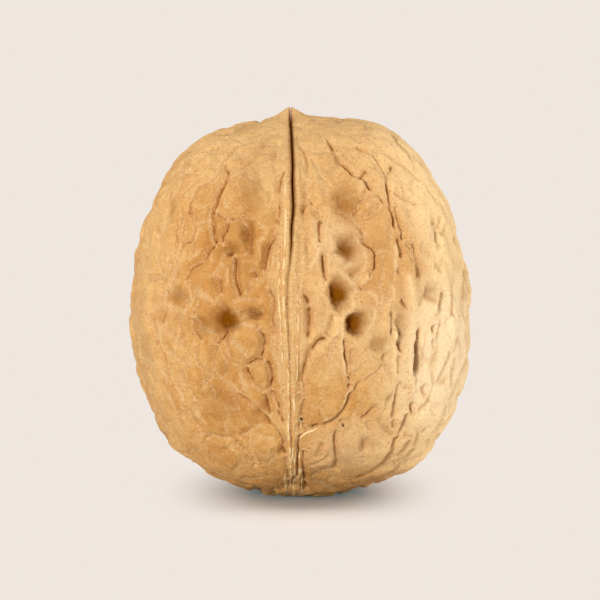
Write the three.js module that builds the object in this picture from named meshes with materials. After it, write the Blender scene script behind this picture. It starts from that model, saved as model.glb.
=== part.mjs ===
// A walnut in its shell, standing on its blunt stem end. Millimetres, +Z up.
// The seam between the two halves lies in the plane x = 0 and runs round the nut over the pointed tip.
// The origin is on the small flat spot that the nut rests on. The whole nut grew as one piece, so it is one solid.
import * as THREE from "three";
import { mergeVertices } from "three/addons/utils/BufferGeometryUtils.js";

// The shell is measured outwards from its heart, a point on the axis.
const heartHeight = 20;

// Outlines from the tip down to the stem end, as [distance from the axis, height].
const rightOutline = [
  [0, 42], [0.8, 41.6], [2, 41], [3.6, 40.75], [7, 40.75], [9.6, 40.2], [12, 38.7], [14.7, 35.5], [16.9, 32],
  [18.4, 27.6], [19.3, 23], [19.5, 18.5], [19.2, 13.6], [18, 9.8], [16, 5.7], [13, 2.8], [8.6, 1.05], [4, 0], [0, -0.4],
];
const leftOutline = [
  [0, 42], [0.8, 41.6], [1.8, 40.9], [3.4, 40.25], [7.4, 39.7], [10.2, 38.3], [12.6, 36], [14.6, 32.6],
  [16.2, 28.8], [17.2, 24.5], [17.5, 20.5], [17, 15.6], [15.9, 11], [14.1, 7.1], [11.2, 3.9], [7.4, 1.6], [2.6, 0.1], [0, -0.4],
];
const seamOutline = [
  [0, 42], [1.6, 41.3], [3.8, 40.5], [7.4, 38.9], [11.2, 36.3], [14.5, 32.4], [16.8, 27.6], [17.8, 22.4],
  [17.8, 17.2], [16.5, 11.8], [14, 7.4], [10.4, 3.7], [6.4, 1.1], [3.4, 0], [0, -0.4],
];
const roundness = 2.08; // exponent of the level cross-section, where 2 is an ellipse

// The seam stands up as a ridge, and its upper part has opened a little.
const ridge = { height: 0.5, fade: 0.55, startsAt: 4, sinksFrom: 35, sinksBy: 41 };
const ridgeHalfWidths = [[0, 0.8], [8, 1.2], [16, 1.7], [24, 1.8], [32, 1.3], [38, 0.9], [42, 0.7]]; // [height, half width]
const crack = { depth: 0.5, halfWidth: 0.28, opensAt: 18, openBy: 24, closesFrom: 40.5, closesBy: 41.8 };

// Hollows, as [across from the seam, height, half width, half height, depth]. Negative is left as seen from that side.
const frontHollows = [
  [-7.1, 20.9, 1.5, 1.3, 1.2], [-9.4, 20.2, 1.4, 1, 0.45], [-12.3, 22.9, 1.5, 1.1, 0.45], [-4, 21.9, 1.2, 0.6, 0.4],
  [-4.5, 30.5, 0.8, 2, 0.55], [-4, 34.6, 1.1, 3.4, 0.35], [-6.6, 28.4, 1.6, 0.6, 0.5], [-7.6, 11, 2.2, 2.6, 0.3],
  [5.3, 23.9, 1.1, 1.6, 1.45], [7.1, 20.6, 1.1, 1.3, 1.25], [6.1, 28.5, 1.2, 1.4, 0.85], [5.7, 33.3, 1.4, 2.2, 0.5],
  [9.6, 18.2, 1, 1.2, 0.45], [15.2, 23.3, 0.9, 1.1, 0.4], [12, 20.1, 0.8, 2, 0.4], [13.6, 16.3, 0.7, 2, 0.5],
];
const backHollows = [
  [-6.2, 23.6, 1.4, 1.7, 1], [-7.6, 17.2, 1.5, 1.2, 0.7], [-5.2, 30.8, 1.2, 2.6, 0.45], [-12, 25.2, 1.1, 1.7, 0.45],
  [-11, 12.6, 1.3, 1.8, 0.35], [4.8, 25.4, 1.2, 1.9, 0.85], [7.4, 20.6, 1.4, 1.2, 1], [6.2, 14.2, 1, 1.9, 0.4],
  [5.6, 33.2, 1.2, 2, 0.35], [12.4, 21.6, 1, 1.6, 0.5], [14.2, 29, 0.9, 1.6, 0.35], [10.6, 8, 1.6, 1.4, 0.3],
];

// The mesh is slices parallel to the seam, closest together beside it.
const slices = 60;
const pointsAround = 96;
const seamCrowding = 0.4; // spacing of the slices beside the seam, against even spacing

// Distance from the heart to an outline, against the angle down from the tip.
function outlineReach(outline) {
  const curve = new THREE.SplineCurve(outline.map(([out, up]) => new THREE.Vector2(out, up - heartHeight)));
  const samples = curve.getPoints(60 * outline.length).map((p) => [Math.atan2(p.x, p.y), p.length()]);
  return (angle) => interpolate(samples, angle);
}

function interpolate(pairs, at) {
  const next = pairs.findIndex(([key]) => key >= at);
  if (next === 0) return pairs[0][1];
  if (next < 0) return pairs[pairs.length - 1][1];
  const [[lowKey, low], [highKey, high]] = [pairs[next - 1], pairs[next]];
  return THREE.MathUtils.mapLinear(at, lowKey, highKey, low, high);
}

const rightReach = outlineReach(rightOutline);
const leftReach = outlineReach(leftOutline);
const seamReach = outlineReach(seamOutline);

// A point on the smooth form of the nut, along a direction from its heart.
function smoothPoint(direction) {
  const down = Math.acos(THREE.MathUtils.clamp(direction.z, -1, 1));
  const level = Math.hypot(direction.x, direction.y) || 1;
  const sideShare = Math.abs(direction.x / level) / (direction.x < 0 ? leftReach(down) : rightReach(down));
  const seamShare = Math.abs(direction.y / level) / seamReach(down);
  const reach = direction.x === 0 && direction.y === 0
    ? seamReach(down)
    : (sideShare ** roundness + seamShare ** roundness) ** (-1 / roundness);
  return direction.clone().multiplyScalar(reach).add(new THREE.Vector3(0, 0, heartHeight));
}

// The point of the smooth form at a distance across from the seam and a height, on the front or the back.
function pointOnFace(across, height, back) {
  let depth = 18;
  for (let step = 0; step < 12; step++) {
    const aim = new THREE.Vector3(across, back ? depth : -depth, height - heartHeight);
    const found = smoothPoint(aim.clone().normalize());
    depth *= found.sub(new THREE.Vector3(0, 0, heartHeight)).length() / aim.length();
  }
  return new THREE.Vector3(across, back ? depth : -depth, height);
}

// Each hollow's centre on the shell, with the direction that runs up the shell there.
function placeHollows(rows, back) {
  return rows.map(([across, height, halfWidth, halfHeight, depth]) => {
    const side = back ? -across : across;
    const centre = pointOnFace(side, height, back);
    const up = pointOnFace(side, height + 0.5, back).sub(centre).normalize();
    return { centre, up, halfWidth, halfHeight, depth };
  });
}

const hollows = [...placeHollows(frontHollows, false), ...placeHollows(backHollows, true)];

function hollowDepth(point) {
  let depth = 0;
  for (const hollow of hollows) {
    const away = point.clone().sub(hollow.centre);
    const along = away.dot(hollow.up);
    const acrossSquared = away.lengthSq() - along * along;
    depth += hollow.depth * Math.exp(-acrossSquared / hollow.halfWidth ** 2 - (along / hollow.halfHeight) ** 2);
  }
  return depth;
}

function ridgeRise(point) {
  const halfWidth = interpolate(ridgeHalfWidths, point.z);
  const outside = THREE.MathUtils.smoothstep(Math.abs(point.x) / halfWidth, 1 - ridge.fade, 1 + ridge.fade);
  const startOfRidge = THREE.MathUtils.smoothstep(point.z, 0, ridge.startsAt);
  const endOfRidge = 1 - THREE.MathUtils.smoothstep(point.z, ridge.sinksFrom, ridge.sinksBy);
  return ridge.height * (1 - outside) * startOfRidge * endOfRidge;
}

function crackDepth(point) {
  const opens = THREE.MathUtils.smoothstep(point.z, crack.opensAt, crack.openBy);
  const closes = 1 - THREE.MathUtils.smoothstep(point.z, crack.closesFrom, crack.closesBy);
  return crack.depth * opens * closes * Math.exp(-((point.x / crack.halfWidth) ** 2));
}

// Gentle swells keep the halves from being too even.
function swell(point) {
  return 0.16 * Math.sin(0.42 * point.x + 1.1) * Math.sin(0.33 * point.z) * Math.cos(0.37 * point.y + 0.6);
}

function shellPoint(direction) {
  const point = smoothPoint(direction);
  const rise = ridgeRise(point) - crackDepth(point) - hollowDepth(point) + swell(point) * (1 - direction.z ** 8);
  point.addScaledVector(direction, rise);
  point.z = Math.max(point.z, 0); // the flat spot
  return point;
}

// Moves a slice towards the seam, by the angle that it stands away from it.
function crowdToSeam(direction) {
  const share = Math.asin(THREE.MathUtils.clamp(direction.x, -1, 1)) / (Math.PI / 2);
  const angle = (Math.PI / 2) * share * (seamCrowding + (1 - seamCrowding) * share * share);
  const round = Math.atan2(direction.y, direction.z);
  return new THREE.Vector3(Math.sin(angle), Math.cos(angle) * Math.sin(round), Math.cos(angle) * Math.cos(round));
}

function walnutGeometry() {
  const sphere = new THREE.SphereGeometry(1, pointsAround, slices).rotateZ(-Math.PI / 2);
  sphere.deleteAttribute("normal");
  sphere.deleteAttribute("uv");
  const geometry = mergeVertices(sphere, 1e-5);
  const position = geometry.getAttribute("position");
  const direction = new THREE.Vector3();
  for (let i = 0; i < position.count; i++) {
    direction.fromBufferAttribute(position, i).normalize();
    const onSeam = Math.abs(direction.x) < 1e-6;
    const aim = crowdToSeam(direction);
    if (onSeam) aim.setX(0).normalize();
    position.setXYZ(i, ...shellPoint(aim).toArray());
  }
  geometry.computeVertexNormals();
  return geometry;
}

const shellMaterial = new THREE.MeshStandardMaterial({ color: 0xd9a96b, roughness: 0.75, metalness: 0 });

const walnut = new THREE.Mesh(walnutGeometry(), shellMaterial);
walnut.name = "walnut";

const group = new THREE.Group();
group.add(walnut);

export default group;
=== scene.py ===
import math
import bpy
import numpy as np
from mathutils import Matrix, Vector, kdtree
from mathutils.bvhtree import BVHTree


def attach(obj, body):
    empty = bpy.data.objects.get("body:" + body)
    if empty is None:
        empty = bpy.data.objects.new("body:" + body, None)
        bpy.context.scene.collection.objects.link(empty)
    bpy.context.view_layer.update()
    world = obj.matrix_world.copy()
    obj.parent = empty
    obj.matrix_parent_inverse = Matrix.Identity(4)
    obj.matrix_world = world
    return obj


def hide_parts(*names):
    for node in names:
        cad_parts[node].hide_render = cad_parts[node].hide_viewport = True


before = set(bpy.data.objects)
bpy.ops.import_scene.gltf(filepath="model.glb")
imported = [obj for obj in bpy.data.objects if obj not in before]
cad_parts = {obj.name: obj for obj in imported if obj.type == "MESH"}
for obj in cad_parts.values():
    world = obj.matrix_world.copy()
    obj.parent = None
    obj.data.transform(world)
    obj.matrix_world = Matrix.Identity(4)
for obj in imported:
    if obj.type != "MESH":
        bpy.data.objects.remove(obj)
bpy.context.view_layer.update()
mm = 0.001  # everything below is worked out in millimetres and made in metres

# Form of the nut, as the CAD has it.
form = {
    "heartHeight": 20.0,
    "roundness": 2.08,
    # outlines from the tip down to the stem end: distance from the axis, height
    "right": [(0, 42), (0.8, 41.6), (2, 41), (3.6, 40.75), (7, 40.75), (9.6, 40.2), (12, 38.7),
              (14.7, 35.5), (16.9, 32), (18.4, 27.6), (19.3, 23), (19.5, 18.5), (19.2, 13.6), (18, 9.8),
              (16, 5.7), (13, 2.8), (8.6, 1.05), (4, 0), (0, -0.4)],
    "left": [(0, 42), (0.8, 41.6), (1.8, 40.9), (3.4, 40.25), (7.4, 39.7), (10.2, 38.3), (12.6, 36),
             (14.6, 32.6), (16.2, 28.8), (17.2, 24.5), (17.5, 20.5), (17, 15.6), (15.9, 11), (14.1, 7.1),
             (11.2, 3.9), (7.4, 1.6), (2.6, 0.1), (0, -0.4)],
    "seam": [(0, 42), (1.6, 41.3), (3.8, 40.5), (7.4, 38.9), (11.2, 36.3), (14.5, 32.4), (16.8, 27.6),
             (17.8, 22.4), (17.8, 17.2), (16.5, 11.8), (14, 7.4), (10.4, 3.7), (6.4, 1.1), (3.4, 0),
             (0, -0.4)],
    "ridgeHeight": 0.5, "ridgeFade": 0.55, "ridgeStart": 4.0,
    "ridgeSinksFrom": 35.0, "ridgeSinksBy": 41.0,
    "ridgeHalfWidths": [(0, 0.8), (8, 1.2), (16, 1.7), (24, 1.8), (32, 1.3), (38, 0.9), (42, 0.7)],
    "lookDown": 7.0,  # degrees; heights on the front are given as seen from this much above
    "seenBase": -0.2,  # where the lowest part is seen then
}
lookUp, lookIn = math.cos(math.radians(form["lookDown"])), math.sin(math.radians(form["lookDown"]))

# Wide hollows: across from the seam, height, half width, half height, depth.
frontHollows = [
    (-7.1, 18.9, 1.5, 1.3, 1.2), (-9.4, 18.4, 1.4, 1, 0.45), (-12.3, 21.4, 1.5, 1.1, 0.45),
    (-4, 19.8, 1.2, 0.6, 0.4), (-4.5, 28.6, 0.8, 2, 0.55), (-4, 33, 1.1, 3.4, 0.35),
    (-6.6, 26.5, 1.6, 0.6, 0.5), (-7.6, 9.4, 2.2, 2.6, 0.3), (5.3, 21.8, 1.1, 1.6, 1.45),
    (7.1, 18.6, 1.1, 1.3, 1.25), (6.1, 26.6, 1.2, 1.4, 0.85), (5.7, 31.6, 1.4, 2.2, 0.5),
    (9.6, 16.3, 1, 1.2, 0.45), (15.2, 22, 0.9, 1.1, 0.4), (12, 18.4, 0.8, 2, 0.4),
    (13.6, 14.8, 0.7, 2, 0.5),
]
backHollows = [
    (-6.2, 23.6, 1.4, 1.7, 1), (-7.6, 17.2, 1.5, 1.2, 0.7), (-5.2, 30.8, 1.2, 2.6, 0.45),
    (-12, 25.2, 1.1, 1.7, 0.45), (-11, 12.6, 1.3, 1.8, 0.35), (4.8, 25.4, 1.2, 1.9, 0.85),
    (7.4, 20.6, 1.4, 1.2, 1), (6.2, 14.2, 1, 1.9, 0.4), (5.6, 33.2, 1.2, 2, 0.35),
    (12.4, 21.6, 1, 1.6, 0.5), (14.2, 29, 0.9, 1.6, 0.35), (10.6, 8, 1.6, 1.4, 0.3),
]
# Small dips that only the fine shell has.
frontDips = [
    (6.6, 24.1, 0.6, 0.5, 0.3), (14.1, 24.3, 0.6, 1.1, 0.3), (12.5, 7.6, 0.5, 0.8, 0.25),
    (-12.2, 18.8, 0.6, 1.1, 0.25), (16.1, 24.3, 0.6, 0.6, 0.3), (15.2, 22.3, 0.5, 0.6, 0.3),
    (-12.9, 31, 0.8, 0.9, 0.25), (-7, 18.6, 0.6, 0.7, 0.35), (6.9, 18.4, 0.6, 0.6, 0.45),
    (7.96, 27.5, 0.5, 0.5, 0.2), (-4.35, 26.3, 0.45, 0.5, 0.25), (9.1, 16.6, 0.5, 0.7, 0.2),
    (-8.2, 10.6, 1.2, 1.2, 0.15), (-4.9, 24.6, 1.3, 1.6, 0.25), (-6.2, 16.6, 1.2, 1.6, 0.15),
    (11.9, 18.2, 0.5, 1.2, 0.25), (4.8, 22.6, 0.6, 0.8, 0.3), (5.7, 20.6, 0.6, 0.7, 0.3),
]
# Plates that stand out: across, height, half width, half height, lean in degrees, rise.
frontPlates = [
    (3.8, 12.3, 2.3, 4.6, -8, 0.42), (-4.8, 16.6, 1.9, 1.7, 0, 0.34), (-3.1, 13.2, 0.95, 1.5, 0, 0.3),
    (-4.4, 20.35, 1.7, 0.6, 0, 0.2), (-2.6, 5.0, 1.5, 1.8, 10, 0.28), (3.1, 4.2, 1.6, 2.4, -5, 0.22),
    (6.4, 5.4, 1.3, 2.4, -5, 0.2), (9.3, 5.8, 1, 2.4, -20, 0.22), (9.4, 11.5, 1.3, 1.9, -25, 0.22),
    (-3.4, 10.1, 0.7, 1.7, 28, 0.22), (-9.2, 15.2, 0.9, 1.6, 5, 0.16), (-7.5, 14.6, 0.6, 1.3, 0, 0.14),
    (-9.9, 31.5, 0.9, 2, 0, 0.2), (-5.9, 33.2, 0.9, 1.9, 0, 0.14), (-5.8, 28, 0.7, 1.2, 0, 0.2),
    (-9.7, 27, 0.9, 1.5, 10, 0.2), (-9.2, 22.3, 1.2, 1.6, 0, 0.24), (-3.5, 25.6, 0.6, 1.6, 0, 0.2),
    (2.9, 25.6, 0.7, 1.6, 0, 0.14), (9.4, 28.6, 1.2, 1.8, 0, 0.3), (6.9, 33, 1, 1.3, 15, 0.25),
    (9.4, 34.4, 0.7, 1.4, -10, 0.22), (7.6, 20.4, 1, 1, 0, 0.15), (10.3, 19, 0.5, 1.9, 0, 0.18),
    (12.9, 22.6, 0.9, 2.2, -8, 0.25), (14.5, 29.5, 1, 2.4, 0, 0.2), (13, 13.2, 0.4, 2.6, 0, 0.2),
    (17.3, 19.5, 0.9, 3, 0, 0.2), (-15.6, 20, 0.8, 3, 0, 0.2), (-12.2, 14, 0.7, 2, 0, 0.2),
    (-13.5, 8.8, 0.9, 1.6, 15, 0.18), (-11.4, 34.6, 0.9, 1.1, 30, 0.15), (8.4, 23.9, 0.5, 1.2, 10, 0.3),
    (5.9, 35.6, 0.8, 1.3, 20, 0.18), (3.8, 30.3, 0.7, 1.5, 0, 0.16), (2.9, 20.3, 0.6, 1.8, 0, 0.2),
]

# Veins on the front: strength, half width, which side stands higher (l r u d or -), then points (across,
# height).
frontVeins = [
    (0.3, 0.15, "-", [(-1.1, 38.2), (-1.4, 37.6), (-1.6, 36.8), (-1.55, 35.8), (-1.2, 34.8)]),
    (0.75, 0.17, "-", [(-0.5, 35), (-0.9, 34.3), (-1.15, 33.2), (-1.3, 32.2), (-1.2, 31), (-1.3, 29.8),
        (-1.24, 29.2), (-1.5, 28.5), (-1.7, 27.8), (-1.9, 27.3), (-2.2, 26.8), (-2.4, 26.2), (-2.5, 25.4),
        (-2.64, 24.6), (-2.9, 24.1)]),
    (0.5, 0.16, "-", [(-1.6, 39.6), (-2.6, 38.7), (-3, 38), (-3.7, 37.1), (-4.3, 36.4), (-5, 35.8),
        (-5.8, 35.4), (-6.5, 34.9), (-7, 34.2)]),
    (0.4, 0.18, "-", [(-3.3, 39.7), (-4, 39.1), (-4.8, 38.4), (-5.6, 38)]),
    (0.65, 0.17, "l", [(-5.6, 38), (-6, 37.84), (-6.56, 37.2), (-6.96, 36.64), (-7.4, 36.2), (-7.6, 35.5),
        (-7.92, 35), (-8.48, 34.4), (-8.8, 34), (-9.36, 33.6), (-9.68, 33.3), (-10, 33.08), (-10.16, 32.64),
        (-10.4, 32.08), (-10.72, 31.6), (-10.88, 31.12), (-11, 30.7), (-10.8, 30.24), (-10.5, 29.76)]),
    (0.5, 0.15, "-", [(-7.68, 38.24), (-8, 37.84), (-8.08, 37.2), (-8.08, 36.5), (-8.12, 35.84),
        (-8.2, 35.1), (-8.4, 34.8), (-8.96, 34.08)]),
    (0.8, 0.17, "-", [(-8.12, 38.16), (-8.64, 37.44)]),
    (0.35, 0.14, "-", [(-8.64, 37.44), (-9.36, 37.4), (-10.64, 37.3)]),
    (0.4, 0.14, "-", [(-8.5, 37.4), (-8.16, 36.9)]),
    (0.5, 0.15, "-", [(-7.2, 38.8), (-6.9, 39.2)]),
    (0.9, 0.19, "l", [(-7.24, 36.1), (-6.96, 35.36), (-6.84, 34.9), (-7, 34.3), (-7.3, 33.7), (-7.6, 33.1),
        (-7.76, 32.56), (-7.96, 32), (-8.24, 31.3), (-8.36, 30.64), (-8.4, 30), (-8.44, 29.44), (-8.36, 29),
        (-8.36, 28.2), (-8.28, 27.5), (-8.2, 27.1)]),
    (0.65, 0.17, "-", [(-8.2, 27.04), (-8.72, 26.84), (-9.12, 26.44), (-9.28, 25.9), (-9.52, 25.5),
        (-10, 25.2), (-10.5, 24.9), (-10.9, 24.4), (-11.1, 23.96), (-11.28, 23.6), (-11.24, 23.1)]),
    (0.3, 0.15, "-", [(-8.9, 36.4), (-9.1, 35.8), (-9.6, 35.2), (-10.16, 34.7), (-10.4, 34.16),
        (-10.68, 33.76), (-11.04, 33.3), (-11.6, 32.6), (-12.1, 32.2), (-12.4, 31.8)]),
    (0.3, 0.15, "-", [(-10, 36.2), (-11.04, 35.5)]),
    (0.45, 0.15, "-", [(-13.9, 32.5), (-13.6, 32)]),
    (0.4, 0.15, "-", [(-13.9, 31.5), (-14.2, 31.2)]),
    (0.65, 0.17, "-", [(-11.84, 30.2), (-11.9, 29.7), (-12.1, 29.2)]),
    (0.5, 0.2, "r", [(-12.1, 29.2), (-12.5, 28.4), (-12.4, 27.6), (-12.5, 26.8), (-12.8, 25.9)]),
    (0.4, 0.17, "-", [(-8.5, 29.3), (-8.96, 29.5), (-10, 29.4), (-10.44, 29.2), (-10.6, 28.4), (-10.76, 28),
        (-10.9, 27.6), (-11.5, 27.4), (-11.84, 27), (-12.1, 26.4), (-12.3, 25.8), (-12.6, 24.9)]),
    (0.4, 0.16, "-", [(-11.44, 29.4), (-11.7, 28.9), (-11.8, 28.3)]),
    (0.5, 0.18, "r", [(-14.24, 29), (-14.5, 28.4), (-14.7, 27.6), (-14.8, 26.8)]),
    (0.3, 0.16, "-", [(-14, 25.7), (-13.6, 25.1)]),
    (0.3, 0.2, "-", [(-15.8, 23.7), (-15, 23.2), (-14.2, 23.6), (-13.4, 24)]),
    (0.5, 0.18, "r", [(-13.4, 23.8), (-13.8, 23.2), (-13.9, 22.5), (-14, 21.8)]),
    (0.5, 0.18, "r", [(-13.5, 20), (-13.6, 19.5), (-13.84, 18.84), (-14.2, 18.4)]),
    (0.35, 0.16, "-", [(-9.84, 21.4), (-10, 20.6), (-10.4, 19.8), (-10.5, 19.2)]),
    (0.8, 0.18, "-", [(-7.76, 23.5), (-7.6, 22.6), (-7.36, 21.8)]),
    (0.35, 0.15, "-", [(-7.3, 24.8), (-7.7, 24.6), (-8.1, 24), (-8.6, 23.7)]),
    (0.35, 0.15, "-", [(-7.8, 20.9), (-7, 20)]),
    (0.5, 0.16, "-", [(-7.36, 26.2), (-7.4, 25)]),
    (0.5, 0.16, "-", [(-8, 30.7), (-7.5, 30.2), (-6.96, 29.8), (-6.64, 29.76)]),
    (0.55, 0.17, "-", [(-6.6, 29.8), (-6.1, 30), (-5.4, 30), (-5.2, 29.6), (-4.96, 29.1), (-4.56, 28.7),
        (-4.3, 28.3), (-4.24, 27.8), (-4.2, 27), (-4.3, 26.2), (-4.8, 26.1)]),
    (0.65, 0.16, "-", [(-6.64, 29.7), (-6.72, 29.2), (-7.04, 28.7), (-7.36, 28.3), (-7.44, 27.8),
        (-7.4, 27.2)]),
    (0.8, 0.18, "-", [(-6.96, 26.5), (-6.7, 26.3), (-6.1, 26.1)]),
    (0.85, 0.19, "l", [(-6, 25.9), (-6, 24.9), (-6, 24), (-6.08, 23.4), (-5.9, 22.7), (-5.6, 22),
        (-5.44, 21.4)]),
    (0.8, 0.17, "-", [(-4.16, 24.4), (-3.84, 24), (-3.6, 23.5)]),
    (0.4, 0.16, "-", [(-4.08, 23), (-4.5, 22.1), (-4.8, 21.8)]),
    (0.75, 0.2, "u", [(-4.5, 19.75), (-4.16, 19.75), (-3.5, 19.5), (-3.04, 19.9)]),
    (0.3, 0.16, "-", [(-6.3, 20.6), (-5.6, 21.1), (-4.5, 21.2), (-3.2, 21)]),
    (0.75, 0.18, "-", [(-2.4, 22.4), (-2.1, 22.1), (-1.84, 21.6), (-1.7, 21.2), (-1.7, 20.4), (-1.85, 19.6),
        (-1.9, 18.9), (-1.75, 18.2), (-1.72, 17.6), (-1.85, 17.2)]),
    (0.35, 0.16, "-", [(-1.85, 17.2), (-1.85, 16.5), (-1.95, 15.9), (-1.75, 15.4), (-1.6, 15), (-1.4, 14.5),
        (-1.25, 14), (-1.15, 13.3), (-1.05, 12.6), (-0.9, 12), (-0.75, 11.5)]),
    # right of the seam, upper
    (0.35, 0.15, "-", [(1, 38.4), (1.5, 37.4), (1.9, 36.4), (1.9, 35.2), (1.95, 34), (1.75, 33)]),
    (0.65, 0.16, "-", [(1.75, 33), (1.8, 32.2), (2, 31.6), (1.6, 31.2), (1.2, 30.4)]),
    (0.25, 0.15, "-", [(2.2, 36.8), (2.7, 36), (3.1, 35), (3.6, 34), (3.75, 32.8), (3.8, 32)]),
    (0.65, 0.16, "-", [(1.9, 32.4), (2.3, 31.6), (2.6, 30.8), (2.96, 30.3), (3.12, 29.6), (3.2, 28.4),
        (3.24, 27.2)]),
    (0.4, 0.15, "-", [(0.9, 28.2), (1.1, 27.6), (1.6, 27.1), (1.9, 26.5), (2, 25.7)]),
    (0.85, 0.17, "-", [(3.6, 26.3), (3.64, 25.7), (3.76, 24.8), (3.84, 24), (3.92, 23.2)]),
    (0.5, 0.16, "-", [(1.36, 21.8), (1.84, 21.2), (2, 20.6)]),
    (0.75, 0.18, "-", [(2.16, 20.4), (2.1, 19.4), (2.1, 18.2), (1.95, 17.3), (1.7, 17.1)]),
    (0.5, 0.16, "-", [(4.64, 19.6), (4.4, 19), (4.2, 18.2), (4.05, 17.4), (3.8, 17.2)]),
    (0.75, 0.18, "r", [(4.1, 38.8), (4.6, 38.1), (5, 37.2), (5.35, 36.3), (5.4, 36), (6.1, 35.4),
        (6.7, 34.9), (7.4, 34.3)]),
    (0.5, 0.15, "-", [(7.5, 34.3), (7.9, 34.6), (8.4, 35.2)]),
    (1, 0.24, "u", [(7.4, 34.3), (7.9, 34.2), (8.35, 33.7), (8.6, 33.3), (9, 32.9)]),
    (0.5, 0.18, "-", [(9, 32.9), (9.3, 32.7), (10, 32), (10.4, 31.4)]),
    (0.7, 0.18, "-", [(8.6, 32.7), (8, 32.2), (7.4, 31.8), (7.2, 31.4), (7.4, 30.8), (6.7, 30.5)]),
    (0.4, 0.16, "-", [(7.4, 30.8), (8.1, 30.4), (8.3, 30.2), (9, 30.8), (9.8, 31.3)]),
    (0.8, 0.17, "-", [(7.1, 38), (7.7, 37.5), (8.4, 37.1), (8.6, 36.8)]),
    (0.4, 0.16, "-", [(5, 40.1), (5.2, 39.7), (5.8, 39.3), (6.6, 39.2), (7.2, 38.6), (7.9, 38.1)]),
    (0.3, 0.14, "-", [(5.8, 39.35), (7.7, 39.3)]),
    (0.4, 0.15, "-", [(7.3, 40.4), (7.8, 39.7), (7.75, 39.2)]),
    (0.4, 0.16, "-", [(8.6, 37), (9.1, 37.15), (9.8, 37.3), (10.4, 37), (11, 36.5), (11.6, 35.95),
        (12.6, 35.3), (13.4, 34.5), (14.2, 34)]),
    (0.35, 0.15, "-", [(11.6, 36), (12.2, 36.5)]),
    (0.65, 0.18, "r", [(8.7, 37), (9.3, 36.6), (9.7, 35.9), (10.1, 35.1), (10.4, 34.6), (10.35, 34.2),
        (10.15, 33.85)]),
    (0.9, 0.2, "-", [(10.4, 34.7), (10.9, 35.1), (11, 35.4), (11.2, 35.8)]),
    (0.9, 0.19, "r", [(10.15, 33.85), (10.5, 33.3), (10.75, 32.6), (10.9, 31.9), (11, 31.5), (10.9, 31),
        (11.1, 30.6), (11.3, 30), (11.35, 29.4), (11.4, 28.8)]),
    (0.75, 0.18, "-", [(11.1, 31.5), (11.4, 30.9), (11.6, 30.2), (11.8, 29.6), (12, 29), (12.3, 28.4),
        (12.2, 27.9), (12.3, 27.5)]),
    (0.35, 0.15, "-", [(8.6, 36.6), (9, 36), (9.2, 35.4), (9.7, 34.6), (10, 34), (10.2, 33.8)]),
    (0.45, 0.15, "-", [(11, 32.9), (11.4, 32.6), (12, 32.3), (12.6, 32.1), (13.2, 31.9), (14, 31.5)]),
    (0.3, 0.15, "-", [(8.4, 38.8), (8.8, 38.6), (9.3, 38.2), (9.7, 37.5)]),
    (0.3, 0.15, "-", [(9, 38.9), (9.9, 39.15)]),
    (0.35, 0.15, "-", [(9.6, 39.9), (9.8, 39.2)]),
    (0.45, 0.18, "-", [(11.7, 38.6), (12.3, 38), (13, 37.3)]),
    (0.4, 0.16, "-", [(15.4, 34.3), (15.4, 33.8)]),
    (0.5, 0.17, "l", [(15.6, 32.5), (15.75, 31.9), (15.85, 31.5)]),
    (0.4, 0.18, "-", [(12.8, 31.2), (13, 30.6), (13.3, 30.1)]),
    (0.5, 0.16, "-", [(6.64, 30), (6.9, 29.5), (7.2, 29.3), (7.76, 28.8), (7.9, 28.3), (7.7, 28)]),
    (0.7, 0.18, "-", [(7.96, 27.5), (8.4, 26.9), (8.9, 26.4), (9.15, 26), (9.2, 25.4), (9.15, 24.9),
        (8.96, 24.4), (8.6, 24), (8.3, 23.4)]),
    (0.3, 0.16, "-", [(9.1, 26.2), (10, 26.3), (10.5, 26.1)]),
    (0.75, 0.15, "-", [(7.5, 22.2), (7.8, 22.6)]),
    (0.95, 0.23, "l", [(11.7, 28), (11.75, 27.2), (11.85, 26.5), (12, 26), (12.25, 25.7)]),
    (0.7, 0.17, "-", [(11.45, 24.6), (11.65, 24.3), (11.9, 23.9)]),
    (0.4, 0.16, "-", [(12.3, 27.4), (12.8, 26.9), (13.3, 26.2), (13.45, 25.6)]),
    (0.55, 0.19, "l", [(13.2, 27.4), (13.5, 26.5), (13.6, 25.7), (13.8, 25), (13.9, 24.2), (14, 23.4)]),
    (0.5, 0.17, "-", [(12.1, 21.4), (12.4, 20.7), (12.7, 20.1)]),
    (0.85, 0.2, "l", [(15.75, 28.7), (15.85, 28.2), (15.85, 27.6), (15.8, 27.2)]),
    (0.4, 0.17, "-", [(15.8, 27.1), (16.1, 27), (15.85, 26.5)]),
    (0.4, 0.18, "-", [(16.1, 30.2), (16.2, 29.4), (16, 28.8)]),
    (0.45, 0.17, "l", [(16.5, 21.9), (16.25, 21.3), (16.1, 20.6), (16, 20), (15.9, 19.5)]),
    (0.5, 0.17, "l", [(15.4, 18.5), (15.45, 18), (15.4, 17.5)]),
    (0.3, 0.16, "-", [(15.3, 17), (15.4, 16.2), (15.6, 15.8)]),
    # lower right
    (0.9, 0.17, "r", [(3.9, 17.15), (3.4, 16.95), (3, 16.7), (2.6, 16.3), (2.2, 15.8), (1.85, 15.2),
        (1.7, 14.7), (1.6, 14.3), (1.45, 13.8), (1.35, 13.3), (1.3, 12.8), (1.2, 12.2)]),
    (0.5, 0.15, "r", [(1.2, 12.2), (1.1, 11.6), (1.1, 11.1), (1.1, 10.6), (1.15, 10.2)]),
    (0.4, 0.32, "-", [(1.5, 12.6), (1.55, 11.5), (1.5, 10.5), (1.35, 9.6), (1.2, 8.9), (1.1, 8.5)]),
    (1, 0.3, "-", [(1.1, 8.55), (1.12, 8.2)]),
    (0.75, 0.16, "-", [(1.05, 8.1), (0.95, 7.7), (0.92, 7.2), (1.1, 6.9)]),
    (0.65, 0.16, "-", [(1.3, 8), (1.45, 7.5), (1.8, 7.2), (2.3, 7.15)]),
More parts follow.
